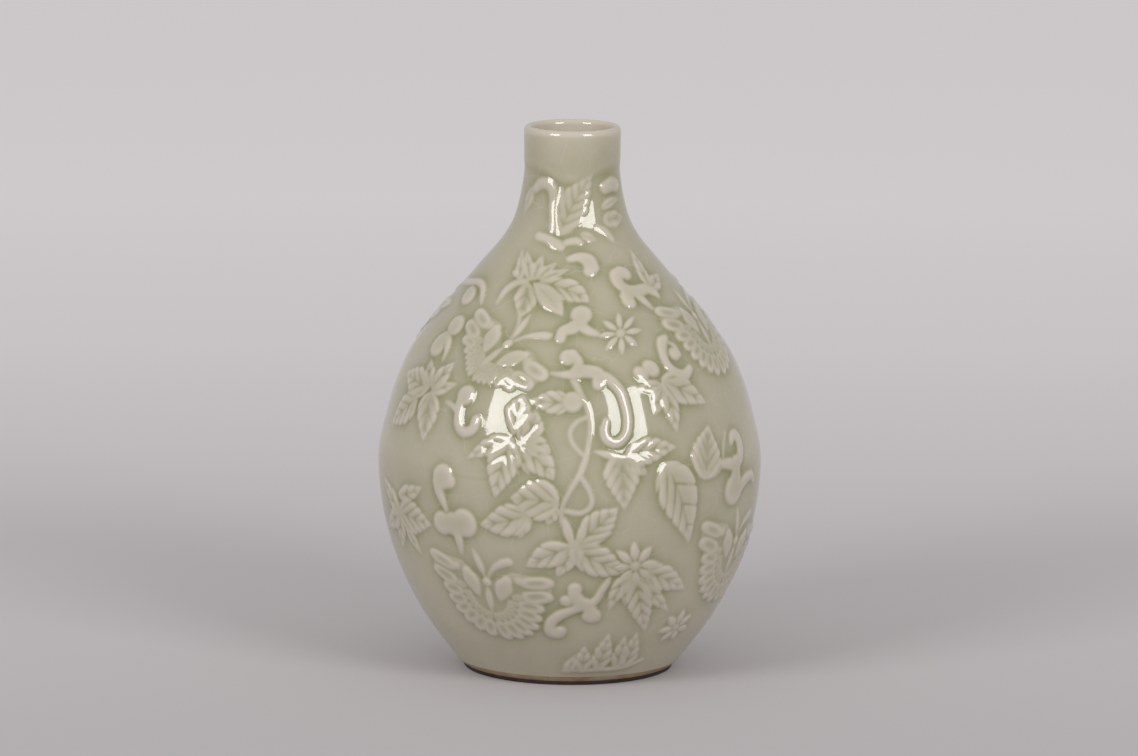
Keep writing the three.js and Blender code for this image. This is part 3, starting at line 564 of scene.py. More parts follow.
LAYOUT = [
    Drawing("butterfly_low_left", Row.FOOT, -48, [Butterfly(25.2, 6.6, -9, ROUND)]),
    Drawing("butterfly_low_right", Row.FOOT, 45, [Butterfly(24.5, 19.5, -10, ROUND)]),
    Drawing("butterfly_high_left", Row.SHOULDER, -45, [Butterfly(16, -18.5, -31, SWEPT)]),
    Drawing("butterfly_high_right", Row.SHOULDER, 45, [Butterfly(24.5, -11, -3, SMALL)]),
    Drawing("scroll_foot", Row.FOOT, 0, [
        Ball(2.6, 12.7, 3.2),
        Ball(-0.8, 7, 3),
        Stroke([(2.2, 11, 2.8), (4.5, 6.5, 3.4), (8, 4.5, 3.4), (9.2, 0.5, 3.2)]),
        Ball(9.6, -0.6, 4.3),
        Stroke([(8, 5, 2.6), (11.5, 7.5, 2), (13.6, 11.5, 1.8), (16, 15.5, 1.7), (17.3, 18.5, 1)]),
        Stroke([
            (5.5, 4.3, 2.6), (0.5, 1.8, 2.5), (-4, -0.8, 2.7), (-7.2, -4.5, 2.7),
            (-7.2, -8.8, 2.9), (-4.6, -10.3, 3.2), (-3.4, -8.8, 2.9),
        ]),
    ]),
    Drawing("leaf_foot", Row.FOOT, 0, [
        vine([(-1.5, -33, 1.2), (12, -32.5, 1.6), (24, -32, 1.6), (33, -28.5, 1.2)]),
        Leaf((-0.5, -34.5), (3, -22.8), 5.5),
        Leaf((6, -34.5), (6.8, -17.4), 8.5),
        Leaf((12, -34), (17.4, -10.2), 9),
        Leaf((20, -33), (24.5, -12), 7.5),
        Leaf((24, -33), (30, -10.8), 9),
    ]),
    Drawing("blossom_small", Row.FOOT, 45, blossom(0.5, -11, 9.5, 7, 85, 4.2)),
    Drawing("blossom_low", Row.FOOT, 0, [
        Leaf((27, 20), (17, 1.5), 8, -1.5),
        Leaf((28, 19), (33.5, -11.5), 13),
        Leaf((24, 17), (24, 3), 6),
        Leaf((32, 20), (53, 8.5), 13, 1),
        Leaf((31, 15), (45, -2), 8),
        *blossom(28, 23, 11.5, 8, 3, 4.4),
    ]),
    Drawing("leaves_low", Row.MIDDLE, 0, [
        Ball(2.2, -9.2, 3.4, 1.3),
        Leaf((1.5, -9), (-3.3, 6), 4.4, 0, SMOOTH),
        Leaf((3.3, -8.2), (6.9, 4.4), 4.2, -0.6, SMOOTH),
        Leaf((3.4, -8.2), (20.4, 7), 14.2, 0, VEINED, 0.5, twist=0.3),
        Leaf((4.5, -8.8), (17.2, -4.6), 5.2),
        Leaf((2.6, -10), (26, -21.5), 15.2, -1.6, VEINED, 0.4),
        Leaf((1.8, -9), (-18, -19.4), 12.4, -0.6, VEINED, 0.5, twist=-0.4),
        Leaf((1.4, -10.4), (-4.9, -23.8), 9.4),
        Leaf((2.6, -8.6), (3.8, -19.4), 7.4, 0, SMOOTH),
    ]),
    Drawing("leaf_lobed", Row.MIDDLE, 0, [
        Leaf((-17, 4), (-38.5, -2), 15, 0.8),
        Leaf((-17, 4), (-21, -7), 7),
        Leaf((-4, 9), (-25, 10.5), 18.5, -0.6),
        Leaf((-6, 8.5), (-9, -0.5), 8),
    ]),
    Drawing("scroll_cloud", Row.MIDDLE, -48, [
        Ball(10.5, 16.2, 5.7),
        Ball(14.1, 14.8, 3.3),
        Stroke([(8, 14, 3.2), (8.8, 10, 2.7), (10.5, 6, 2), (12.2, 2.5, 1.4)]),
        Ball(9.6, -3.4, 5.4),
        Ball(15, -3.2, 5.4),
        Ball(20.8, -2.2, 6.4),
        Stroke([(17, -6, 3), (17.2, -11, 2), (17, -16, 1)]),
    ]),
    Drawing("leaves_edge", Row.MIDDLE, -48, [
        Leaf((-19, -4), (-24, -20.5), 9),
        Leaf((-19, -4), (-38, -13), 9),
        Leaf((-19, -4), (-37, 9), 9),
        Leaf((-16, -8), (-7.5, -21), 6.5),
        Leaf((-20, -3), (2.5, -5.5), 16.5),
        Leaf((-20, 4), (-1.5, 10.5), 8, -1),
    ]),
    Drawing("leaves_centre", Row.UPPER, 0, [
        Leaf((-24, -9.7), (-19.2, 8), 13, 0, VEINED, 0.55),
        Leaf((-23, -10.8), (-45, -20.8), 8.6, -0.8),
        Leaf((-24.6, -10.8), (-31.5, -36), 15, -0.6, VEINED, 0.42, twist=-0.3),
        Leaf((-21.5, -11.3), (-14.2, 1.6), 12.8, -2.2),
        Leaf((-22, -11.3), (-7.6, -16.2), 10.5, 0.6, VEINED, 0.6),
        Leaf((-21.6, -12.2), (-6.3, -27.4), 12.6, 1.2, VEINED, 0.55, twist=0.4),
        Leaf((-22, -12.3), (-16.6, -26), 6.6),
        Leaf((-23.3, -11), (-22.2, -18.6), 3.4, 0, SMOOTH, 0.6, 1.7),
    ]),
    Drawing("leaf_heart", Row.UPPER, 0, [
        Leaf((23, -17.5), (47, -15.5), 12, 0.8),
        Leaf((24, -19), (33, -26), 8),
        Leaf((21.5, -17), (23.2, -40.3), 17, 0, CUPPED, 0.3),
        Leaf((22.5, -18.5), (9, -15), 4, 0, SMOOTH),
    ]),
    Drawing("leaf_long", Row.MIDDLE, 48, [
        Leaf((-25.6, 24.3), (-11.6, -11.5), 20.0, 0.8, VEINED, 0.33, vein_gap=9.0, twist=0.8),
    ]),
    Drawing("leaf_cup_and_hook", Row.MIDDLE, 48, [
        Leaf((-5.5, 15.3), (1, 37.5), 18.5, 0.5, CUPPED, 0.42),
        vine([
            (-8.5, 17.6, 1.2), (-3.5, 16.4, 1.3), (1.5, 17.3, 1.3), (5.6, 20.5, 1.2),
            (8, 26.5, 1.1), (11.5, 33.5, 0.9),
        ]),
        Stroke([
            (5.5, 20.5, 2.2), (10, 20, 2.8), (15, 19.2, 3.1), (19.5, 21.5, 3.1), (21, 26.3, 3),
            (19, 30.3, 2.8), (16, 30.8, 2.4), (14.6, 28.6, 1.8),
        ]),
        Stroke([(15.5, 20, 3.2), (15, 14, 4.2), (14.5, 10, 5)]),
        Ball(14, 8.6, 7),
        Stroke([(17, 8, 3.2), (24, 11.5, 2.8), (30, 12, 2.2), (33.5, 9.5, 1.5)]),
    ]),
    Drawing("leaves_left", Row.UPPER, -48, [
        Leaf((-8, 5), (-14, 17.5), 9),
        Leaf((-14, 0), (-34, -14), 14),
        Leaf((-8, 5), (-32, 8.5), 14),
        Leaf((-6, 5), (2, 18.5), 10),
        Leaf((-6, 4), (8, 9.5), 6.5),
        Leaf((-5.5, 4), (-4.3, -17), 14.5, 0, CUPPED, 0.38),
    ]),
    Drawing("scroll_left", Row.UPPER, -48, [
        Ball(14.3, 5.2, 4.6),
        Stroke([
            (12.6, 2.5, 2.6), (13, -2.5, 2.3), (14.3, -7.4, 2.4), (17.8, -10, 2.4),
            (21.6, -8.4, 2.5), (22.4, -4.6, 2.5),
        ]),
        Stroke([(5, 1.2, 1), (9, 0, 1.5), (12.5, -1.5, 2.2)]),
    ]),
    Drawing("scroll_hook_shoulder", Row.SHOULDER, -45, [
        Stroke([
            (-31, 12, 1.6), (-22, 13, 1.9), (-14, 14.3, 2), (-8.8, 12.6, 1.9), (-6, 8.5, 1.6),
            (-4.3, 5.5, 1.1),
        ]),
        Ball(-15.6, 7.4, 5),
    ]),
    Drawing("scroll_bulbs", Row.SHOULDER, -45, [
        Ball(-12, -7.2, 5.3),
        Ball(-17, -17.8, 5.3),
        Stroke([
            (-18.5, -15.5, 2.8), (-15, -13.3, 2.8), (-11.4, -15, 2.5), (-9.6, -18.8, 1.8),
            (-9.3, -23, 1.1),
        ]),
    ]),
    Drawing("leaves_shoulder", Row.SHOULDER, 0, [
        Leaf((-22.4, 17.6), (-22.4, 34.3), 5.4),
        Ball(-24.7, 21.8, 2.0),
        Leaf((-17.3, 18.6), (-19.9, 33.7), 6.2),
        Leaf((-16, 19.2), (-12.2, 32), 6.4),
        Leaf((-14.2, 19.8), (-5.9, 29.1), 5.2),
        Leaf((-13.5, 19.5), (-0.5, 25.8), 5.0),
        Leaf((-14.5, 18.6), (7.8, 9.3), 12.4, 2.0, VEINED, 0.58, twist=0.5),
        Leaf((-16.5, 18.6), (-3.2, 2.5), 10.6, 0.8, SMOOTH, 0.55),
        Leaf((-18.6, 18.5), (-21.8, 1), 11.6, 0.6, CUPPED, 0.5),
        vine([(-19.5, 18.5, 1.8), (-24.5, 17, 1.8), (-29.5, 13, 1.7), (-33.6, 6.5, 0.9)]),
        vine([(-21.8, 3, 1.2), (-22.2, -2.5, 1.2), (-24.5, -8, 1.1), (-27.5, -11.5, 0.9)]),
    ]),
    Drawing("scroll_comma", Row.SHOULDER, 0, [
        Stroke([(-0.5, 30.5, 1.8), (3.5, 31.2, 2.7), (7, 29.5, 3.4), (8.6, 25.8, 3.4)]),
        Ball(8, 24.8, 3.3),
    ]),
    Drawing("scroll_cluster", Row.SHOULDER, 45, [
        Ball(-6.3, 22.3, 3.6),
        Stroke([
            (-7, 23.2, 3), (-10.5, 21.5, 3.1), (-11.3, 17.5, 3.1), (-8.5, 13.8, 3.4),
            (-4, 13.2, 3.2), (0.5, 13.8, 2.9), (3.8, 12, 2.6), (5.5, 9.8, 1.6),
        ]),
        Stroke([(-9, 14, 3.2), (-11.3, 10.5, 3.3)]),
        Ball(-11.3, 8.8, 3.5),
        Stroke([(-6, 12, 2.6), (-3.5, 7.8, 2), (-1.3, 4, 1.2)]),
        Leaf((3, 13), (4.5, 34), 6.5),
        Leaf((2, 13), (15, 19.5), 8),
    ]),
    Drawing("blossom_star", Row.SHOULDER, 0, blossom(21, -6, 10.5, 8, 5, 3.2)),
    Drawing("scroll_vine", Row.UPPER, 0, [
        Ball(4.3, 44.8, 4.8),
        Stroke([(4.2, 41, 3.2), (0.8, 38.6, 3.2), (-3, 36.8, 2.7), (-4.3, 33.5, 2.4)]),
        Stroke([(4, 39.6, 2.8), (7.5, 37, 2.3), (12, 35.2, 1.2)]),
        Ball(-0.8, 24.6, 4),
        Stroke([(0.6, 26, 2.7), (3.2, 22.5, 2.4), (2.6, 18, 2.8)]),
        Stroke([(-9, 17.6, 0.9), (-4.5, 17, 1.5), (0, 17, 2.4), (3, 17.8, 3.2)]),
        Stroke([(2.5, 18.2, 3.2), (7, 18.4, 3.2), (11.3, 17, 3.2), (11.8, 13, 3)]),
        Stroke([
            (12, 17, 2.4), (16.5, 14.3, 2.5), (20.8, 9.5, 2.3), (23, 3.5, 2.2), (24.2, -3, 2.2),
            (23.3, -8.8, 2.3), (19.5, -12, 2.4), (15.6, -10.6, 2.3), (14.2, -7, 2.2), (15, -3, 1.8),
        ]),
        vine([
            (1.5, 14.5, 2), (4, 9, 1.6), (7, 3, 1.4), (8.3, -3, 1.25), (8.2, -9, 1.25),
            (7.4, -14.5, 1.4), (6.4, -19, 1.6), (4.6, -24, 1.6), (2, -28.5, 1.4),
            (-0.5, -33, 1.25), (-2.8, -38, 1.25), (-3.2, -43, 1.4), (-1.2, -49.5, 1.2),
        ]),
        vine([
            (7.5, -1, 1.1), (3, -3, 1.2), (0.2, -7, 1.2), (1, -11.5, 1.2), (4, -15.3, 1.2),
            (6.8, -17.5, 1.3),
        ]),
        vine([
            (4.8, -26, 1.4), (7.8, -30.5, 1.3), (9.4, -35.5, 1.3), (8, -39.2, 1.4),
            (4, -41, 1.4), (-1.5, -40, 1.4),
        ]),
        Ball(0.9, 5.2, 4.7),
        Leaf((0.5, 4.8), (-17, 5.2), 11),
    ]),
    Drawing("scroll_and_leaves_right", Row.UPPER, 45, [
        Stroke([
            (-2.8, 31.8, 1.6), (-6, 29.5, 2.8), (-8.2, 25, 2.4), (-8.6, 19.5, 2.4),
            (-6, 15.3, 2.7), (-1.5, 13.9, 2.7), (2.8, 16.4, 1.8),
        ]),
        Ball(-2.8, 23.7, 3.3),
        Stroke([(-3.5, 29.5, 1.3), (-0.8, 27.2, 1.6), (-0.6, 23.5, 2)]),
        Ball(-17.3, 18.3, 4.2),
        Ball(-22.6, 16.4, 3.6),
        Leaf((-15, 11), (-27, 10), 7),
        Leaf((-15, 10), (-22, -1.5), 8),
        Leaf((-14, 9), (-12.7, -10), 8.5),
        Leaf((-14.5, 13), (6.8, 0.5), 14, 0, VEINED, 0.33, vein_gap=9.0),
    ]),
    Drawing("scroll_neck", Row.NECK, -30, [
        Stroke([
            (-6, 13.3, 2.1), (-3, 15.8, 2.6), (1.2, 15.2, 2.7), (3.4, 11, 2.4), (3.8, 5.5, 2.2),
            (5.2, -3, 2.1),
        ], 1.0),
        Leaf((-7.5, 14), (-12.5, 1), 5.5, top=1.0),
        Stroke([(-0.5, -6.5, 2), (4, -7.5, 2.2), (8.5, -9.8, 2.5), (11, -11, 1.8)], 1.2),
        Stroke([(12.5, -8.6, 1.9), (16, -8, 2), (18.5, -9, 1.4)], 1.2),
    ]),
    Drawing("leaves_neck", Row.NECK, 30, [
        Leaf((-19, -5.7), (-1.6, 20.8), 14, 0.6, VEINED, 0.45, 1.1, 5.6),
        Leaf((-18.5, -2), (-14.6, 15.8), 6, 0, VEINED, 0.6, 1.1, 5.6),
        Leaf((-10, -5), (-3, -8), 5, top=1.0),
        Stroke([(4.5, 14.2, 3), (8, 15.2, 3.4), (11, 14.4, 3)], 1.2),
        Leaf((1.5, 5.5), (13, 8.5), 4.5, 1, top=1.2),
        Leaf((1.5, 0.5), (14.5, 1), 8, 0, CUPPED, top=1.2),
        Stroke([(-2, -2, 1.4), (1.5, -4, 1.8), (4, -8, 1.5)], 0.9),
    ]),
]


# How the glaze lies over the relief


@dataclass
class Collar:
    """The plain collar under the lip, a little proud of the relief ground."""

    low: float = 214.2
    dip: float = 6.0
    step: float = 0.3
    bevel: float = 4.0
    lip_wall: float = 3.3
    lip_round: float = 2.0
    lip_start: float = 14.0
    lip_inside: float = 3.0

    def stand(self, angle: Grid, height: Grid) -> Grid:
        """How far the collar stands out: its lower edge dips over the front and the back."""
        low = self.low - self.dip * np.cos(angle) ** 8
        t = np.clip((height - low) / self.bevel + 0.5, 0.0, 1.0)
        return self.step * t * t * (3.0 - 2.0 * t)


@dataclass(frozen=True)
class GlazeDepth:
    """Shares that say how thin the glaze lies.

    It is thin on the ground and thinner on the pads and their crests, and it is deep in the
    pools beside them and on the banks between them. Towards the foot, over a reach below a set
    distance along the curve, the share rises as painted light, which makes the lower wall paler.
    The collar counts as a pad so many times as high as it is.
    """

    ground: float = 0.59
    covered: float = 0.2
    full_height: float = 1.4
    crest: float = 0.5
    pool: float = 0.6
    bank: float = 0.2
    # Painted light: the lower wall is made up to this much paler towards the foot.
    low: float = 0.15
    painted_light_end: float = 120.0
    painted_light_reach: float = 80.0
    collar: float = 1.6


@dataclass
class ReliefField:
    """Heights of the whole relief over the unrolled wall, and copies smoothed over reaches."""

    pitch: float = 0.5
    columns: int = 1320
    meniscus: float = 0.22
    melt: float = 0.56
    reaches: tuple[float, ...] = (1.1, 2.4, 6.5)
    collar: Collar = field(default_factory=Collar)
    depth: GlazeDepth = GlazeDepth()

    def __post_init__(self) -> None:
        """Lays every drawing on the unrolled wall, on both sides."""
        self.rise = np.arange(0.0, WALL.total_rise + self.pitch, self.pitch)
        self.radius = WALL.at_rise(self.rise, "radius")
        self.raised = np.zeros((len(self.rise), self.columns))
        for drawing in LAYOUT:
            self.lay(drawing)
        self.raised = np.maximum(self.raised, np.roll(self.raised, self.columns // 2, axis=1))
        turn = np.arange(self.columns) * 2 * math.pi / self.columns
        collar = self.collar.stand(turn[None, :], WALL.at_rise(self.rise, "height")[:, None])
        banked = np.maximum(self.raised, self.depth.collar * collar)
        self.soft, self.broad, self.wide = [self.blurred(banked, reach) for reach in self.reaches]

    def lay(self, drawing: Drawing) -> None:
        """Adds one drawing to the front."""
        low_x, low_y, high_x, high_y = drawing.bounds(self.pitch)
        up = self.rise - drawing.row.value
        rows = np.flatnonzero((up > low_y) & (up < high_y))
        centre = math.radians(drawing.column)
        turn = 2 * math.pi / self.columns
        radius = self.radius[rows]
        first, last = [int((centre + x / radius.min()) / turn) for x in (low_x, high_x)]
        columns = np.arange(first, last)
        x = (columns[None, :] * turn - centre) * radius[:, None]
        y = np.broadcast_to(up[rows][:, None], x.shape)
        place = np.ix_(rows, columns % self.columns)
        self.raised[place] = np.maximum(self.raised[place], drawing.height(x, y))

    def blurred(self, values: Grid, reach: float) -> Grid:
        """The field smoothed over a reach in millimetres, the same all over the wall."""
        up = blur_weights(self.rise, reach) @ values
        waves = np.arange(self.columns // 2 + 1)
        damp = np.exp(-0.5 * (waves[None, :] * reach / self.radius[:, None]) ** 2)
        return np.fft.irfft(np.fft.rfft(up, axis=1) * damp, n=self.columns, axis=1)

    def sample(self, values: Grid, angle: Grid, rise: Grid) -> Grid:
        """The field's values at points, by straight interpolation.

        Args:
            values: One of the field's grids.
            angle: Angles round the wall in radians.
            rise: Distances along the curve.

        Returns:
            The values there.
        """
        row = np.clip(rise / self.pitch, 0.0, len(self.rise) - 1.001)
        column = np.mod(angle / (2 * math.pi), 1.0) * self.columns
        i, j = row.astype(int), column.astype(int) % self.columns
        f, g = row - i, column - np.floor(column)
        k = (j + 1) % self.columns
        low = values[i, j] * (1 - g) + values[i, k] * g
        high = values[i + 1, j] * (1 - g) + values[i + 1, k] * g
        return low * (1 - f) + high * f

    def fillet(self, angle: Grid, rise: Grid) -> Grid:
        """Thickness that the glaze adds where it runs together beside the relief."""
        return self.melt * self.meniscus * self.sample(self.soft, angle, rise)

    def shown(self, raised: Grid) -> Grid:
        """How high a sprig stands once the glaze has levelled it."""
        return self.melt * (1.0 - self.meniscus) * raised

    def thinness_and_light(self, angle: Grid, rise: Grid, raised: Grid) -> Grid:
        """How thin the glaze lies: 0 in the deepest pool, over a half on open ground, 1 on a crest.

        Towards the foot the share is raised as painted light, which makes the lower wall paler.

        Args:
            angle: Angles round the wall in radians.
            rise: Distances along the curve.
            raised: Height of the relief at the points.

        Returns:
            Shares from 0 to 1.
        """
        depth = self.depth
        around = self.sample(self.broad, angle, rise)
        crest = depth.covered * np.clip(raised / depth.full_height, 0.0, 1.0)
        crest += depth.crest * np.clip(raised - around, 0.0, 1.0)
        pool = depth.pool * np.clip(around - raised, 0.0, 1.0)
        bank = depth.bank * np.clip(self.sample(self.wide, angle, rise), 0.0, 1.0)
        # Painted light: paler towards the foot, not thinner glaze.
        low = depth.low * np.clip((depth.painted_light_end - rise) / depth.painted_light_reach, 0.0, 1.0)
        return np.clip(depth.ground + low + crest - pool - bank, 0.0, 1.0)


# Meshes


def only(obj: Piece) -> None:
    """Selects one object and nothing else, and makes it the active one."""
    bpy.ops.object.select_all(action="DESELECT")
    obj.select_set(True)
    bpy.context.view_layer.objects.active = obj


def points_of(obj: Piece) -> Grid:
    """The mesh's points in millimetres, one in each row."""
    flat = np.empty(len(obj.data.vertices) * 3)
    obj.data.vertices.foreach_get("co", flat)
    return flat.reshape(-1, 3) / MM


def move_points(obj: Piece, points: Grid) -> None:
    """Puts the mesh's points at places in millimetres."""
    obj.data.vertices.foreach_set("co", (points * MM).ravel())
    obj.data.update()


def keep_values(obj: Piece, name: str, values: Grid) -> None:
    """Stores a number on every point of the mesh for the materials to read."""
    layer = obj.data.attributes.new(name, "FLOAT", "POINT")
    layer.data.foreach_set("value", values.astype(np.float32).ravel())


def cut_away(obj: Piece, kind: str, spare: Grid) -> None:
    """Deletes points or faces of a mesh.

    Args:
        obj: The piece.
        kind: VERT or FACE.
        spare: True for each point or face that goes.
    """
    only(obj)
    bpy.ops.object.mode_set(mode="EDIT")
    bpy.ops.mesh.select_mode(type=kind)
    bpy.ops.mesh.select_all(action="DESELECT")
    bpy.ops.object.mode_set(mode="OBJECT")
    parts = obj.data.vertices if kind == "VERT" else obj.data.polygons
    parts.foreach_set("select", spare)
    bpy.ops.object.mode_set(mode="EDIT")
    bpy.ops.mesh.delete(type=kind)
    bpy.ops.object.mode_set(mode="OBJECT")


def spin_profile(name: str, profile: list[Point], segments: int, closed: bool) -> Piece:
    """Spins a profile round the upright axis.

    Args:
        name: Name of the piece.
        profile: Radius and height of each point, in millimetres. The solid lies to the left.
        segments: Steps of the turn.
        closed: True for a ring, False for a profile that starts and ends on the axis.

    Returns:
        The closed piece.
    """
    bpy.ops.object.select_all(action="DESELECT")
    corners = profile if closed else [*profile, profile[-1]]
    count = len(corners)
    bpy.ops.mesh.primitive_circle_add(vertices=count, radius=10 * MM, location=(0, 0, 0))
    obj = bpy.context.object
    obj.name = obj.data.name = name
    radius, height = np.array(corners, dtype=float).T
    move_points(obj, np.stack([radius, np.zeros_like(radius), height], axis=1))
    if not closed:
        cut_away(obj, "VERT", np.arange(count) == count - 1)
    bpy.ops.object.mode_set(mode="EDIT")
    bpy.ops.mesh.select_all(action="SELECT")
    bpy.ops.mesh.spin(
        steps=segments, angle=2 * math.pi, use_auto_merge=True, center=(0, 0, 0), axis=(0, 0, 1)
    )
    bpy.ops.mesh.select_all(action="SELECT")
    bpy.ops.mesh.remove_doubles(threshold=0.002 * MM)
    bpy.ops.mesh.normals_make_consistent(inside=False)
    bpy.ops.object.mode_set(mode="OBJECT")
    return obj


def smooth(obj: Piece, sharp: float = 40.0) -> None:
    """Shades a piece smooth, with edges sharper than an angle in degrees kept."""
    only(obj)
    bpy.ops.object.shade_smooth_by_angle(angle=math.radians(sharp))


# Finishes


def linear(colour: Colour) -> tuple[float, float, float, float]:
    """A screen colour, given from 0 to 255, as the renderer's linear one."""
    shares = [c / 255 for c in colour]
    return (*[s / 12.92 if s <= 0.04045 else ((s + 0.055) / 1.055) ** 2.4 for s in shares], 1.0)


def grey(share: float) -> tuple[float, float, float, float]:
    """A linear grey, for a ramp that carries a number."""
    return (share, share, share, 1.0)


@dataclass
class NodeSheet:
    """A material's node tree, with short ways to add to it."""

    name: str

    def __post_init__(self) -> None:
        """Starts the material with its surface shader."""
        self.material = bpy.data.materials.new(self.name)
        self.material.use_nodes = True
        self.tree = self.material.node_tree
        self.surface = self.tree.nodes["Principled BSDF"]

    def feed(self, node: bpy.types.Node, inputs: dict[str | int, object]) -> None:
        """Gives a node's inputs their links, from sockets, or their constants."""
        for key, value in inputs.items():
            if isinstance(value, Socket):
                self.tree.links.new(value, node.inputs[key])
            else:
                node.inputs[key].default_value = value

    def add(self, kind: str, inputs: dict[str | int, object], **settings: object) -> bpy.types.Node:
        """Adds a node.

        Args:
            kind: The node's type.
            inputs: Sockets and constants for its inputs.
            **settings: Values of its own properties.

        Returns:
            The node.
        """
        node = self.tree.nodes.new(kind)
        for key, value in settings.items():
            setattr(node, key, value)
        self.feed(node, inputs)
        return node

    def place(self) -> Socket:
        """The piece's own coordinates."""
        return self.add("ShaderNodeTexCoord", {}).outputs["Object"]

    def math(self, operation: str, *values: Socket | float) -> Socket:
        """Arithmetic on sockets and numbers."""
        return self.add("ShaderNodeMath", dict(enumerate(values)), operation=operation).outputs[0]

    def noise(self, vector: Socket, size: float, detail: float = 2.0, output: str = "Fac") -> Socket:
        """Noise whose lumps are about a size in millimetres."""
        inputs = {"Vector": vector, "Scale": 1.0 / (size * MM), "Detail": detail}
        return self.add("ShaderNodeTexNoise", inputs).outputs[output]

    def ramp(self, source: Socket, stops: list[tuple[float, tuple]]) -> Socket:
        """A colour ramp with stops of place and linear colour, its two ends given first."""
        node = self.add("ShaderNodeValToRGB", {"Fac": source})
        points = node.color_ramp.elements
        for i, (place, colour) in enumerate(stops):
            point = points[i] if i < 2 else points.new(place)
            point.position = place
            point.color = colour
        return node.outputs["Color"]

    def sum_of(self, first: Socket, second: Socket, share: float) -> Socket:
        """first + share * (second - 0.5)."""
        return self.math("ADD", first, self.math("MULTIPLY_ADD", second, share, -0.5 * share))

    def bump(self, heights: list[tuple[Socket, float]]) -> None:
        """Bumps the surface by heights, each with its depth in millimetres."""
        normal = {}
        for source, depth in heights:
            inputs = {"Height": source, "Strength": 1.0, "Distance": depth * MM, **normal}
            normal = {"Normal": self.add("ShaderNodeBump", inputs).outputs["Normal"]}
        self.feed(self.surface, normal)


@dataclass(frozen=True)
class CeladonGlaze:
    """Glossy celadon: green where it pools, pale and a little pink where it runs thin.

    The mottle is noise, each by its size, detail and share. The crackle is a net of cells of one
    size, bent by noise of another, with thin pale lines.
    """

    deep: Colour = (130, 128, 90)
    pooled: Colour = (147, 144, 113)
    ground: Colour = (165, 159, 136)
    pale: Colour = (178, 171, 151)
    crest: Colour = (191, 182, 167)
    pooled_at: float = 0.27
    ground_at: float = 0.5
    pale_at: float = 0.74
    fire_line: Colour = (188, 179, 162)
    roughness: float = 0.05
    glass: float = 1.6
    mottle: tuple[Point, ...] = ((20.0, 5.0, 0.26), (2.2, 3.0, 0.05))
    crackle_size: float = 15.0
    crackle_width: float = 0.011
    crackle_share: float = 0.4
    bend_size: float = 9.0
    bend_reach: float = 6.0
    wave_size: float = 9.0
    wave_depth: float = 0.05
    orange_peel_size: float = 1.6
    orange_peel_depth: float = 0.004

    def material(self, name: str) -> bpy.types.Material:
        """Builds the material.

        Args:
            name: Name of the material.

        Returns:
            The material, which reads the points' glaze_thin_and_light value.
        """
        sheet = NodeSheet(name)
        place = sheet.place()
        # The value holds the glaze's thinness plus painted light, which pales the lower wall and the
        # inside of the mouth.
        thin = sheet.add("ShaderNodeAttribute", {}, attribute_name="glaze_thin_and_light").outputs["Fac"]
        for size, detail, share in self.mottle:
            thin = sheet.sum_of(thin, sheet.noise(place, size, detail), share)
        colour = sheet.ramp(thin, [
            (0.0, linear(self.deep)), (1.0, linear(self.crest)),
            (self.pooled_at, linear(self.pooled)), (self.ground_at, linear(self.ground)),
            (self.pale_at, linear(self.pale)),
        ])
        layers = {"Factor": self.crackle(sheet, place), "A": colour, "B": linear(self.fire_line)}
        mix = sheet.add("ShaderNodeMix", layers, data_type="RGBA")
        sheet.feed(sheet.surface, {
            "Base Color": mix.outputs["Result"], "Roughness": self.roughness, "IOR": self.glass,
        })
        sheet.bump([
            (sheet.noise(place, self.wave_size, 1.0), self.wave_depth),
            (sheet.noise(place, self.orange_peel_size), self.orange_peel_depth),
        ])
        return sheet.material

    def crackle(self, sheet: NodeSheet, place: Socket) -> Socket:
        """Fine crazing in the glaze.

        Args:
            sheet: The material's nodes.
            place: The piece's own coordinates.

        Returns:
            A mask, brightest on the lines.
        """
        bend = sheet.noise(place, self.bend_size, output="Color")
        inputs = {0: bend, 1: (self.bend_reach * MM,) * 3, 2: place}
        shift = sheet.add("ShaderNodeVectorMath", inputs, operation="MULTIPLY_ADD")
        inputs = {"Vector": shift.outputs["Vector"], "Scale": 1.0 / (self.crackle_size * MM)}
        cells = sheet.add("ShaderNodeTexVoronoi", inputs, feature="DISTANCE_TO_EDGE")
        stops = [(0.0, grey(self.crackle_share)), (self.crackle_width, grey(0.0))]
        return sheet.ramp(cells.outputs["Distance"], stops)


@dataclass(frozen=True)
class BareClay:
    """Unglazed stoneware of the foot, darker where iron has burnt through."""

    colour: Colour = (176, 160, 128)
    burnt: Colour = (150, 112, 76)
    roughness: float = 0.7
    cloud_size: float = 6.0
    clouds: tuple[float, float] = (0.35, 0.75)
    grain_size: float = 0.9
    grain_depth: float = 0.05

    def material(self, name: str) -> bpy.types.Material:
        """Builds the material under a name."""
        sheet = NodeSheet(name)
        place = sheet.place()
        stops = list(zip(self.clouds, (linear(self.colour), linear(self.burnt))))
        colour = sheet.ramp(sheet.noise(place, self.cloud_size, 4.0), stops)
        sheet.feed(sheet.surface, {"Base Color": colour, "Roughness": self.roughness})
        sheet.bump([(sheet.noise(place, self.grain_size, 4.0), self.grain_depth)])
        return sheet.material


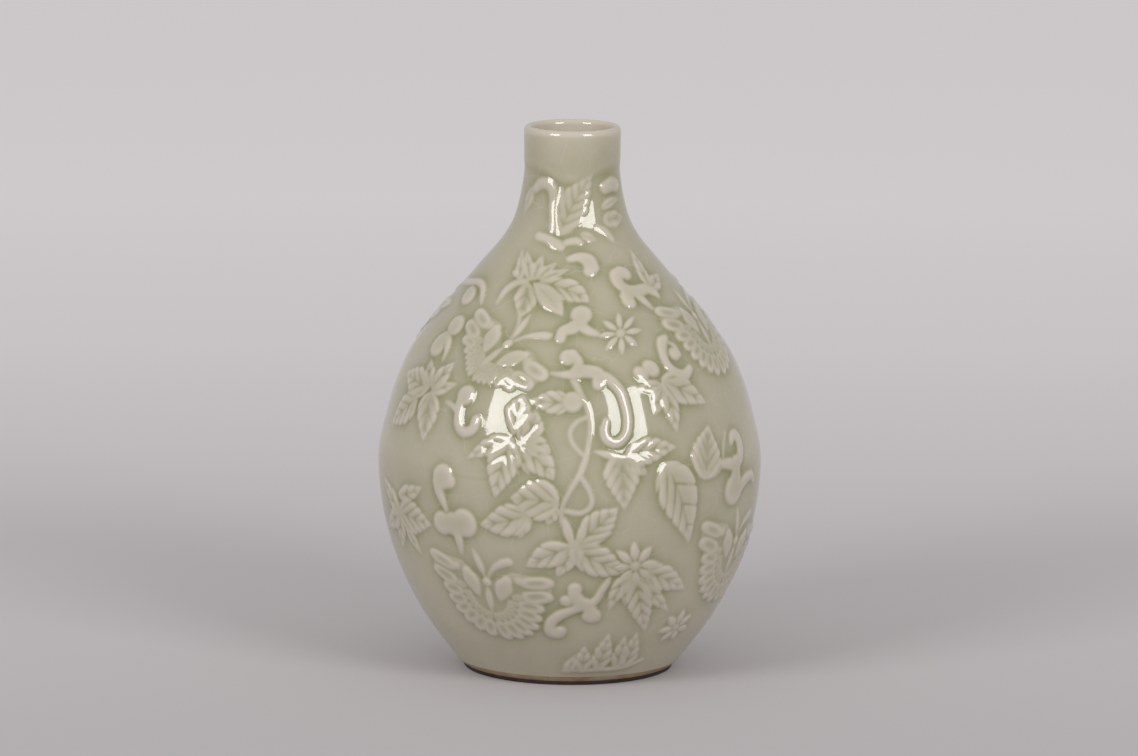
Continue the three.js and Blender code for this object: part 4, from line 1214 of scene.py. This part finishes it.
@dataclass(frozen=True)
class StudioPaper:
    """Matt paper under and behind the vase, with painted light: darker near the camera and glowing
    paler away from it.

    The near colour is painted shade and turns into the far one between two places on the Y axis,
    in metres. The glow is painted light: its strength at shares of its reach behind the vase.
    """

    colour: Colour = (187, 183, 184)
    # Painted shade: the paper is coloured darker near the camera.
    near_shade_colour: Colour = (173, 170, 171)
    near: tuple[float, float] = (-0.22, 0.06)
    # Painted light: the far paper glows paler, in this colour and at these strengths.
    painted_glow_colour: Colour = (200, 196, 197)
    glow: tuple[tuple[float, float], ...] = (
        (0.0, 0.04), (1.0, 0.52), (0.11, 0.1), (0.21, 0.25), (0.33, 0.385), (0.55, 0.515),
    )
    reach: float = 2.4
    roughness: float = 0.9
    gloss: float = 0.1
    cloud_size: float = 400.0
    cloud_share: float = 0.1

    def material(self, name: str) -> bpy.types.Material:
        """Builds the material under a name."""
        sheet = NodeSheet(name)
        place = sheet.place()
        depth = sheet.add("ShaderNodeSeparateXYZ", {"Vector": place}).outputs["Y"]
        limits = {"Value": depth, "From Min": self.near[0], "From Max": self.near[1]}
        away = sheet.add("ShaderNodeMapRange", limits, interpolation_type="SMOOTHSTEP")
        clouds = sheet.noise(place, self.cloud_size)
        mottled = sheet.sum_of(away.outputs["Result"], clouds, self.cloud_share)
        # The paper's colour, darker near the camera as painted shade.
        tone = sheet.ramp(mottled, [(0.0, linear(self.near_shade_colour)), (1.0, linear(self.colour))])
        sheet.feed(sheet.surface, {
            "Base Color": tone, "Roughness": self.roughness, "Specular IOR Level": self.gloss,
            # Painted light: the far paper glows.
            "Emission Color": linear(self.painted_glow_colour),
            "Emission Strength": self.seen_painted_glow(sheet, depth),
        })
        return sheet.material

    def seen_painted_glow(self, sheet: NodeSheet, depth: Socket) -> Socket:
        """Strength of the painted light that makes the far paper glow paler, for the camera and in
        reflections only.

        Args:
            sheet: The material's nodes.
            depth: Distance behind the vase in metres.

        Returns:
            The strength.
        """
        far = sheet.math("DIVIDE", depth, self.reach)
        strength = sheet.ramp(far, [(at, grey(share)) for at, share in self.glow])
        rays = sheet.add("ShaderNodeLightPath", {}).outputs
        seen = sheet.math("MAXIMUM", rays["Is Camera Ray"], rays["Is Glossy Ray"])
        seen = sheet.math("MAXIMUM", seen, rays["Is Transmission Ray"])
        return sheet.math("MULTIPLY", strength, seen)


# Pieces


@dataclass
class TurnedWall:
    """The three thrown sections, each a closed ring of wall with glaze over it.

    The cove joins the wall to the floor inside, each point by its distance in from the wall and
    its height over the floor. The neck pales over pale_reach from the collar's edge up, and the
    lip over lip_reach from lip_depth under the top.
    """

    relief: ReliefField
    glaze: bpy.types.Material
    segments: int = 560
    neck_segments: int = 280
    pitch: float = 0.9
    body_wall: float = 4.8
    neck_wall: float = 3.2
    base_thickness: float = 6.5
    base_radii: tuple[float, ...] = (0.0, 24.0, 42.0)
    cove_height: float = 5.0
    cove: tuple[Point, ...] = ((1.6, 2.6), (4.4, 0.9), (9.0, 0.0))
    neck_paling: float = 0.32
    pale_reach: float = 15.0
    collar_tone: float = 0.04
    lip_paling: float = 0.3
    lip_depth: float = 3.4
    lip_reach: float = 2.4

    def outer(self, low: float, high: float) -> list[Point]:
        """Outer wall points between two heights."""
        first, last = WALL.at_height(np.array([low, high]), "rise")
        rise = np.linspace(first, last, int((last - first) / self.pitch) + 2)
        radius, height = WALL.at_rise(rise, "radius"), WALL.at_rise(rise, "height")
        return list(zip(radius, height))

    def inner(self, high: float, low: float, steps: int) -> list[Point]:
        """Inner wall points between two heights, from the top down."""
        height = np.linspace(high, low, steps)
        share = np.clip((height - WALL.belly_seam) / (WALL.neck_seam - WALL.belly_seam), 0.0, 1.0)
        thick = self.body_wall + (self.neck_wall - self.body_wall) * share * share * (3 - 2 * share)
        radius = WALL.at_height(height, "radius") - thick / WALL.at_height(height, "up")
        return list(zip(radius, height))

    def lower_body(self) -> Piece:
        """Base and lower half of the belly."""
        floor = WALL.foot_height + self.base_thickness
        base = [(radius, WALL.foot_height) for radius in self.base_radii]
        outer = self.outer(WALL.foot_height, WALL.belly_seam)
        inner = self.inner(WALL.belly_seam, floor + self.cove_height, 22)
        cove = [(inner[-1][0] - across, floor + up) for across, up in self.cove]
        profile = [*base, *outer, *inner, *cove, (0.0, floor)]
        return spin_profile("lower_body_wall", profile, self.segments, closed=False)

    def upper_body(self) -> Piece:
        """Upper half of the belly and the shoulder."""
        outer = self.outer(WALL.belly_seam, WALL.neck_seam)
        inner = self.inner(WALL.neck_seam, WALL.belly_seam, 26)
        return spin_profile("upper_body_wall", [*outer, *inner], self.segments, closed=True)

    def neck(self) -> Piece:
        """Neck with its collar and rounded lip."""
        collar = self.relief.collar
        start = WALL.height - collar.lip_round
        outer = self.outer(WALL.neck_seam, start)
        reach = 0.5 * collar.lip_wall
        middle = outer[-1][0] + collar.step - reach
        turn = np.radians(np.linspace(collar.lip_start, 180.0, 13))
        lip = [
            (middle + reach * math.cos(a), start + collar.lip_round * math.sin(a)) for a in turn
        ]
        inner = self.inner(start - collar.lip_inside, WALL.neck_seam, 16)
        return spin_profile("neck_wall", [*outer, *lip, *inner], self.neck_segments, closed=True)

    def dress(self, obj: Piece) -> None:
        """Lays the glaze's own relief on the outside and stores how thin it lies, plus painted
        light.
        """
        relief, collar = self.relief, self.relief.collar
        points = points_of(obj)
        x, y, height = points.T
        angle = np.arctan2(x, -y)
        rise = WALL.at_height(height, "rise")
        outside = np.hypot(x, y) > WALL.at_height(height, "radius") - 0.05
        outside &= height < WALL.height - collar.lip_round + 0.01
        on_collar = collar.stand(angle, height)
        moved = WALL.place(angle, rise, relief.fillet(angle, rise) + on_collar)
        points[outside] = moved[outside]
        move_points(obj, points)
        height = points[:, 2]
        covered = relief.sample(relief.raised, angle, rise)
        thin = relief.thinness_and_light(angle, rise, 0.5 * covered + relief.depth.collar * on_collar)
        paler = np.clip((height - collar.low) / self.pale_reach, 0.0, 1.0) ** 1.5
        thin += on_collar / collar.step * (self.neck_paling * paler - self.collar_tone)
        lip = np.clip((height - WALL.height + self.lip_depth) / self.lip_reach, 0.0, 1.0)
        # The inside of the mouth takes the palest glaze colour: partly thin glaze, partly painted
        # light against the shade inside.
        thin = np.where(outside, thin, 1.0) + self.lip_paling * lip
        keep_values(obj, "glaze_thin_and_light", np.clip(thin, 0.0, 1.0))
        obj.data.materials.append(self.glaze)
        smooth(obj)

    def build(self) -> list[Built]:
        """Builds the sections.

        Returns:
            Each piece with the CAD node that it stands for and its slot.
        """
        sections = [
            (self.lower_body(), "lower_body", "glazed_wall"),
            (self.upper_body(), "upper_body", "glazed_wall"),
            (self.neck(), "neck", "glazed_neck"),
        ]
        for obj, _, _ in sections:
            self.dress(obj)
        return sections


@dataclass
class FootRing:
    """The turned foot: a dark tread under a buff bevel."""

    clay: bpy.types.Material
    tread_clay: bpy.types.Material
    radius: float = 44.0
    width: float = 9.0
    tread_height: float = 1.7
    chamfer: float = 1.0
    bevel_start: float = 0.1
    bevel_width: float = 3.1
    bevel_curve: float = 1.15
    top_radius: float = 45.3
    segments: int = 256

    def build(self) -> Built:
        """Builds the ring.

        Returns:
            The piece, the CAD node that it stands for and its slot.
        """
        inner, top = self.radius - self.width, WALL.foot_height
        share = np.linspace(0.0, 1.0, 7)
        across = self.radius + self.bevel_start + self.bevel_width * share
        up = self.tread_height + (top - self.tread_height) * share**self.bevel_curve
        profile = [
            (inner + self.chamfer, 0.0), (inner + 3.0, 0.0), (self.radius - 0.5, 0.0),
            (self.radius - 0.15, 0.15), (self.radius, 0.5), *zip(across, up),
            (self.top_radius, top), (inner, top), (inner, 2.4), (inner, self.chamfer),
        ]
        obj = spin_profile("foot_ring_turned", profile, self.segments, closed=True)
        obj.data.materials.append(self.clay)
        obj.data.materials.append(self.tread_clay)
        for face in obj.data.polygons:
            face.material_index = int(face.center.z < self.tread_height * MM)
        smooth(obj)
        return obj, "foot_ring", "bare_foot"


@dataclass
class Sprig:
    """One pad of the relief: a moulded face laid on the wall, with a thin back under it.

    The shape is softened over one reach and the tone over a shorter one, because the glaze's
    surface is flatter than the clay under it.
    """

    drawing: Drawing
    side: Side
    relief: ReliefField
    glaze: bpy.types.Material
    pitch: float = 0.5
    margin: float = 1.8
    softness: float = 0.78
    tone_softness: float = 0.3
    sink: float = 0.05
    back: float = 0.3
    least_rise: float = 0.3
    least_height: float = 0.02
    sharp: float = 70.0

    def soften(self, heights: Grid, reach: float) -> Grid:
        """Rounds the carving as the glaze does, over a reach in millimetres."""
        for axis in (0, 1):
            weights = blur_weights(np.arange(heights.shape[axis]) * self.pitch, reach)
            heights = np.moveaxis(np.tensordot(weights, heights, axes=(1, axis)), 0, axis)
        return heights

    def build(self) -> Built:
        """Builds the pad.

        Returns:
            The piece, the CAD node that it stands for and its slot.
        """
        foot = self.drawing.row.value
        low_x, low_y, high_x, high_y = self.drawing.bounds(self.margin)
        low_y = max(low_y, self.least_rise - foot)
        columns, rows = [
            int((high - low) / self.pitch) + 1 for low, high in ((low_x, high_x), (low_y, high_y))
        ]
        bpy.ops.object.select_all(action="DESELECT")
        bpy.ops.mesh.primitive_grid_add(x_subdivisions=columns, y_subdivisions=rows, size=2.0)
        obj = bpy.context.object
        node = f"{self.drawing.name}_{self.side.name}"
        obj.name = obj.data.name = f"{node}_sprig"
        flat = np.round(points_of(obj) * MM, 5)
        across, i = np.unique(flat[:, 0], return_inverse=True)
        up, j = np.unique(flat[:, 1], return_inverse=True)
        grid_x = low_x + (across + 1.0) * 0.5 * (high_x - low_x)
        grid_y = low_y + (up + 1.0) * 0.5 * (high_y - low_y)
        x, y = np.meshgrid(grid_x, grid_y, indexing="ij")
        heights = self.drawing.height(x, y)
        raised = self.soften(heights, self.softness)[i, j]
        carved = self.soften(heights, self.tone_softness)[i, j]
        rise = foot + grid_y[j]
        turn = math.radians(self.drawing.column + self.side.value)
        angle = turn + grid_x[i] / WALL.at_rise(rise, "radius")
        stand = self.relief.fillet(angle, rise) - self.sink + self.relief.shown(raised)
        move_points(obj, WALL.place(angle, rise, stand))
        keep_values(obj, "glaze_thin_and_light", self.relief.thinness_and_light(angle, rise, carved))
        self.trim(obj, raised)
        obj.data.materials.append(self.glaze)
        smooth(obj, self.sharp)
        return obj, node, "glazed_relief"

    def trim(self, obj: Piece, raised: Grid) -> None:
        """Cuts away the grid outside the pad and gives the face its back.

        Args:
            obj: The pad's grid, in place.
            raised: Height of the relief at every point.
        """
        faces = obj.data.polygons
        corners = np.empty(len(faces) * 4, dtype=int)
        faces.foreach_get("vertices", corners)
        cut_away(obj, "FACE", raised[corners.reshape(-1, 4)].max(axis=1) < self.least_height)
        thick = obj.modifiers.new("back", "SOLIDIFY")
        thick.thickness = self.back * MM
        thick.offset = -1.0
        bpy.ops.object.modifier_apply(modifier=thick.name)


# Studio


@dataclass
class Studio:
    """Paper floor, two soft boxes and the camera of the photograph.

    Distances, sizes and look_height are in metres, angles in degrees. look_right and look_down
    shift the picture by pixels of the photograph.
    """

    distance: float = 3.2
    elevation: float = 10.0
    look_height: float = 0.115
    lens: float = 240.5
    sensor: float = 36.0
    farthest: float = 50.0
    roll: float = 0.5
    look_right: float = 1.2
    look_down: float = 17.9
    box_azimuths: tuple[float, float] = (-43.5, 38.5)
    box_elevation: float = 26.0
    box_distance: float = 1.6
    box_side: float = 0.62
    box_power: float = 10.3
    floor_side: float = 24.0
    floor_squares: int = 24
    room_colour: Colour = (214, 213, 213)
    room_light: float = 0.83

    def camera(self) -> None:
        """Places the camera at the photograph's viewpoint."""
        data = bpy.data.cameras.new("camera")
        data.lens = self.lens
        data.sensor_width = self.sensor
        data.shift_x = -self.look_right / PHOTO_WIDTH
        data.shift_y = self.look_down / PHOTO_WIDTH
        data.clip_end = self.farthest
        obj = bpy.data.objects.new("camera", data)
        tilt = math.radians(self.elevation)
        obj.location = (
            0.0, -self.distance * math.cos(tilt), self.look_height + self.distance * math.sin(tilt)
        )
        facing = Euler((math.radians(90.0) - tilt, 0.0, 0.0)).to_matrix()
        rolled = Euler((0.0, 0.0, math.radians(self.roll))).to_matrix()
        obj.rotation_euler = (facing @ rolled).to_euler()
        bpy.context.scene.collection.objects.link(obj)
        bpy.context.scene.camera = obj

    def lamp(self, name: str, azimuth: float) -> None:
        """Adds a soft box that faces the vase.

        Args:
            name: Name of the lamp.
            azimuth: Angle from the front in degrees, towards +X.
        """
        data = bpy.data.lights.new(name, "AREA")
        data.shape = "RECTANGLE"
        data.size = data.size_y = self.box_side
        data.energy = self.box_power
        obj = bpy.data.objects.new(name, data)
        a, e = math.radians(azimuth), math.radians(self.box_elevation)
        way = Vector((math.sin(a) * math.cos(e), -math.cos(a) * math.cos(e), math.sin(e)))
        obj.location = Vector((0, 0, self.look_height)) + way * self.box_distance
        obj.rotation_euler = way.to_track_quat("Z", "Y").to_euler()
        bpy.context.scene.collection.objects.link(obj)

    def floor(self) -> None:
        """Lays a wide sheet of paper under the vase."""
        squares = self.floor_squares
        bpy.ops.object.select_all(action="DESELECT")
        bpy.ops.mesh.primitive_grid_add(
            x_subdivisions=squares, y_subdivisions=squares, size=self.floor_side
        )
        paper = bpy.context.object
        paper.name = paper.data.name = "paper_floor"
        paper.data.materials.append(StudioPaper().material("studio_paper"))

    def world(self) -> None:
        """Fills the room with even light, in the paper's tone."""
        world = bpy.data.worlds.new("room")
        world.use_nodes = True
        background = world.node_tree.nodes["Background"]
        background.inputs["Color"].default_value = linear(self.room_colour)
        background.inputs["Strength"].default_value = self.room_light
        bpy.context.scene.world = world

    def build(self) -> None:
        """Sets the studio up."""
        self.camera()
        self.floor()
        self.world()
        for name, azimuth in zip(("soft_box_left", "soft_box_right"), self.box_azimuths):
            self.lamp(name, azimuth)
        bpy.context.scene.view_settings.view_transform = "Standard"


def settle(obj: Piece, node: str, slot: str) -> None:
    """Ties a finished piece to the frame and reports it.

    Args:
        obj: The piece.
        node: The CAD node that it stands for.
        slot: Name of the piece's material slot; not used.
    """
    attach(obj, BODY)
    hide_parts(node)
    LOG.info("%s: %d points", obj.name, len(obj.data.vertices))


def main() -> None:
    """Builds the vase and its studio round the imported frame."""
    logging.basicConfig(level=logging.INFO, format="%(name)s: %(message)s")
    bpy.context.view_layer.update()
    relief = ReliefField()
    glaze = CeladonGlaze().material("celadon_glaze")
    for obj, node, slot in TurnedWall(relief, glaze).build():
        settle(obj, node, slot)
    clay = BareClay().material("bare_clay")
    tread = BareClay((52, 32, 26), (30, 18, 15), 0.6).material("iron_tread")
    settle(*FootRing(clay, tread).build())
    for side in Side:
        for drawing in LAYOUT:
            settle(*Sprig(drawing, side, relief, glaze).build())
    Studio().build()


if __name__ == "__main__":
    main()
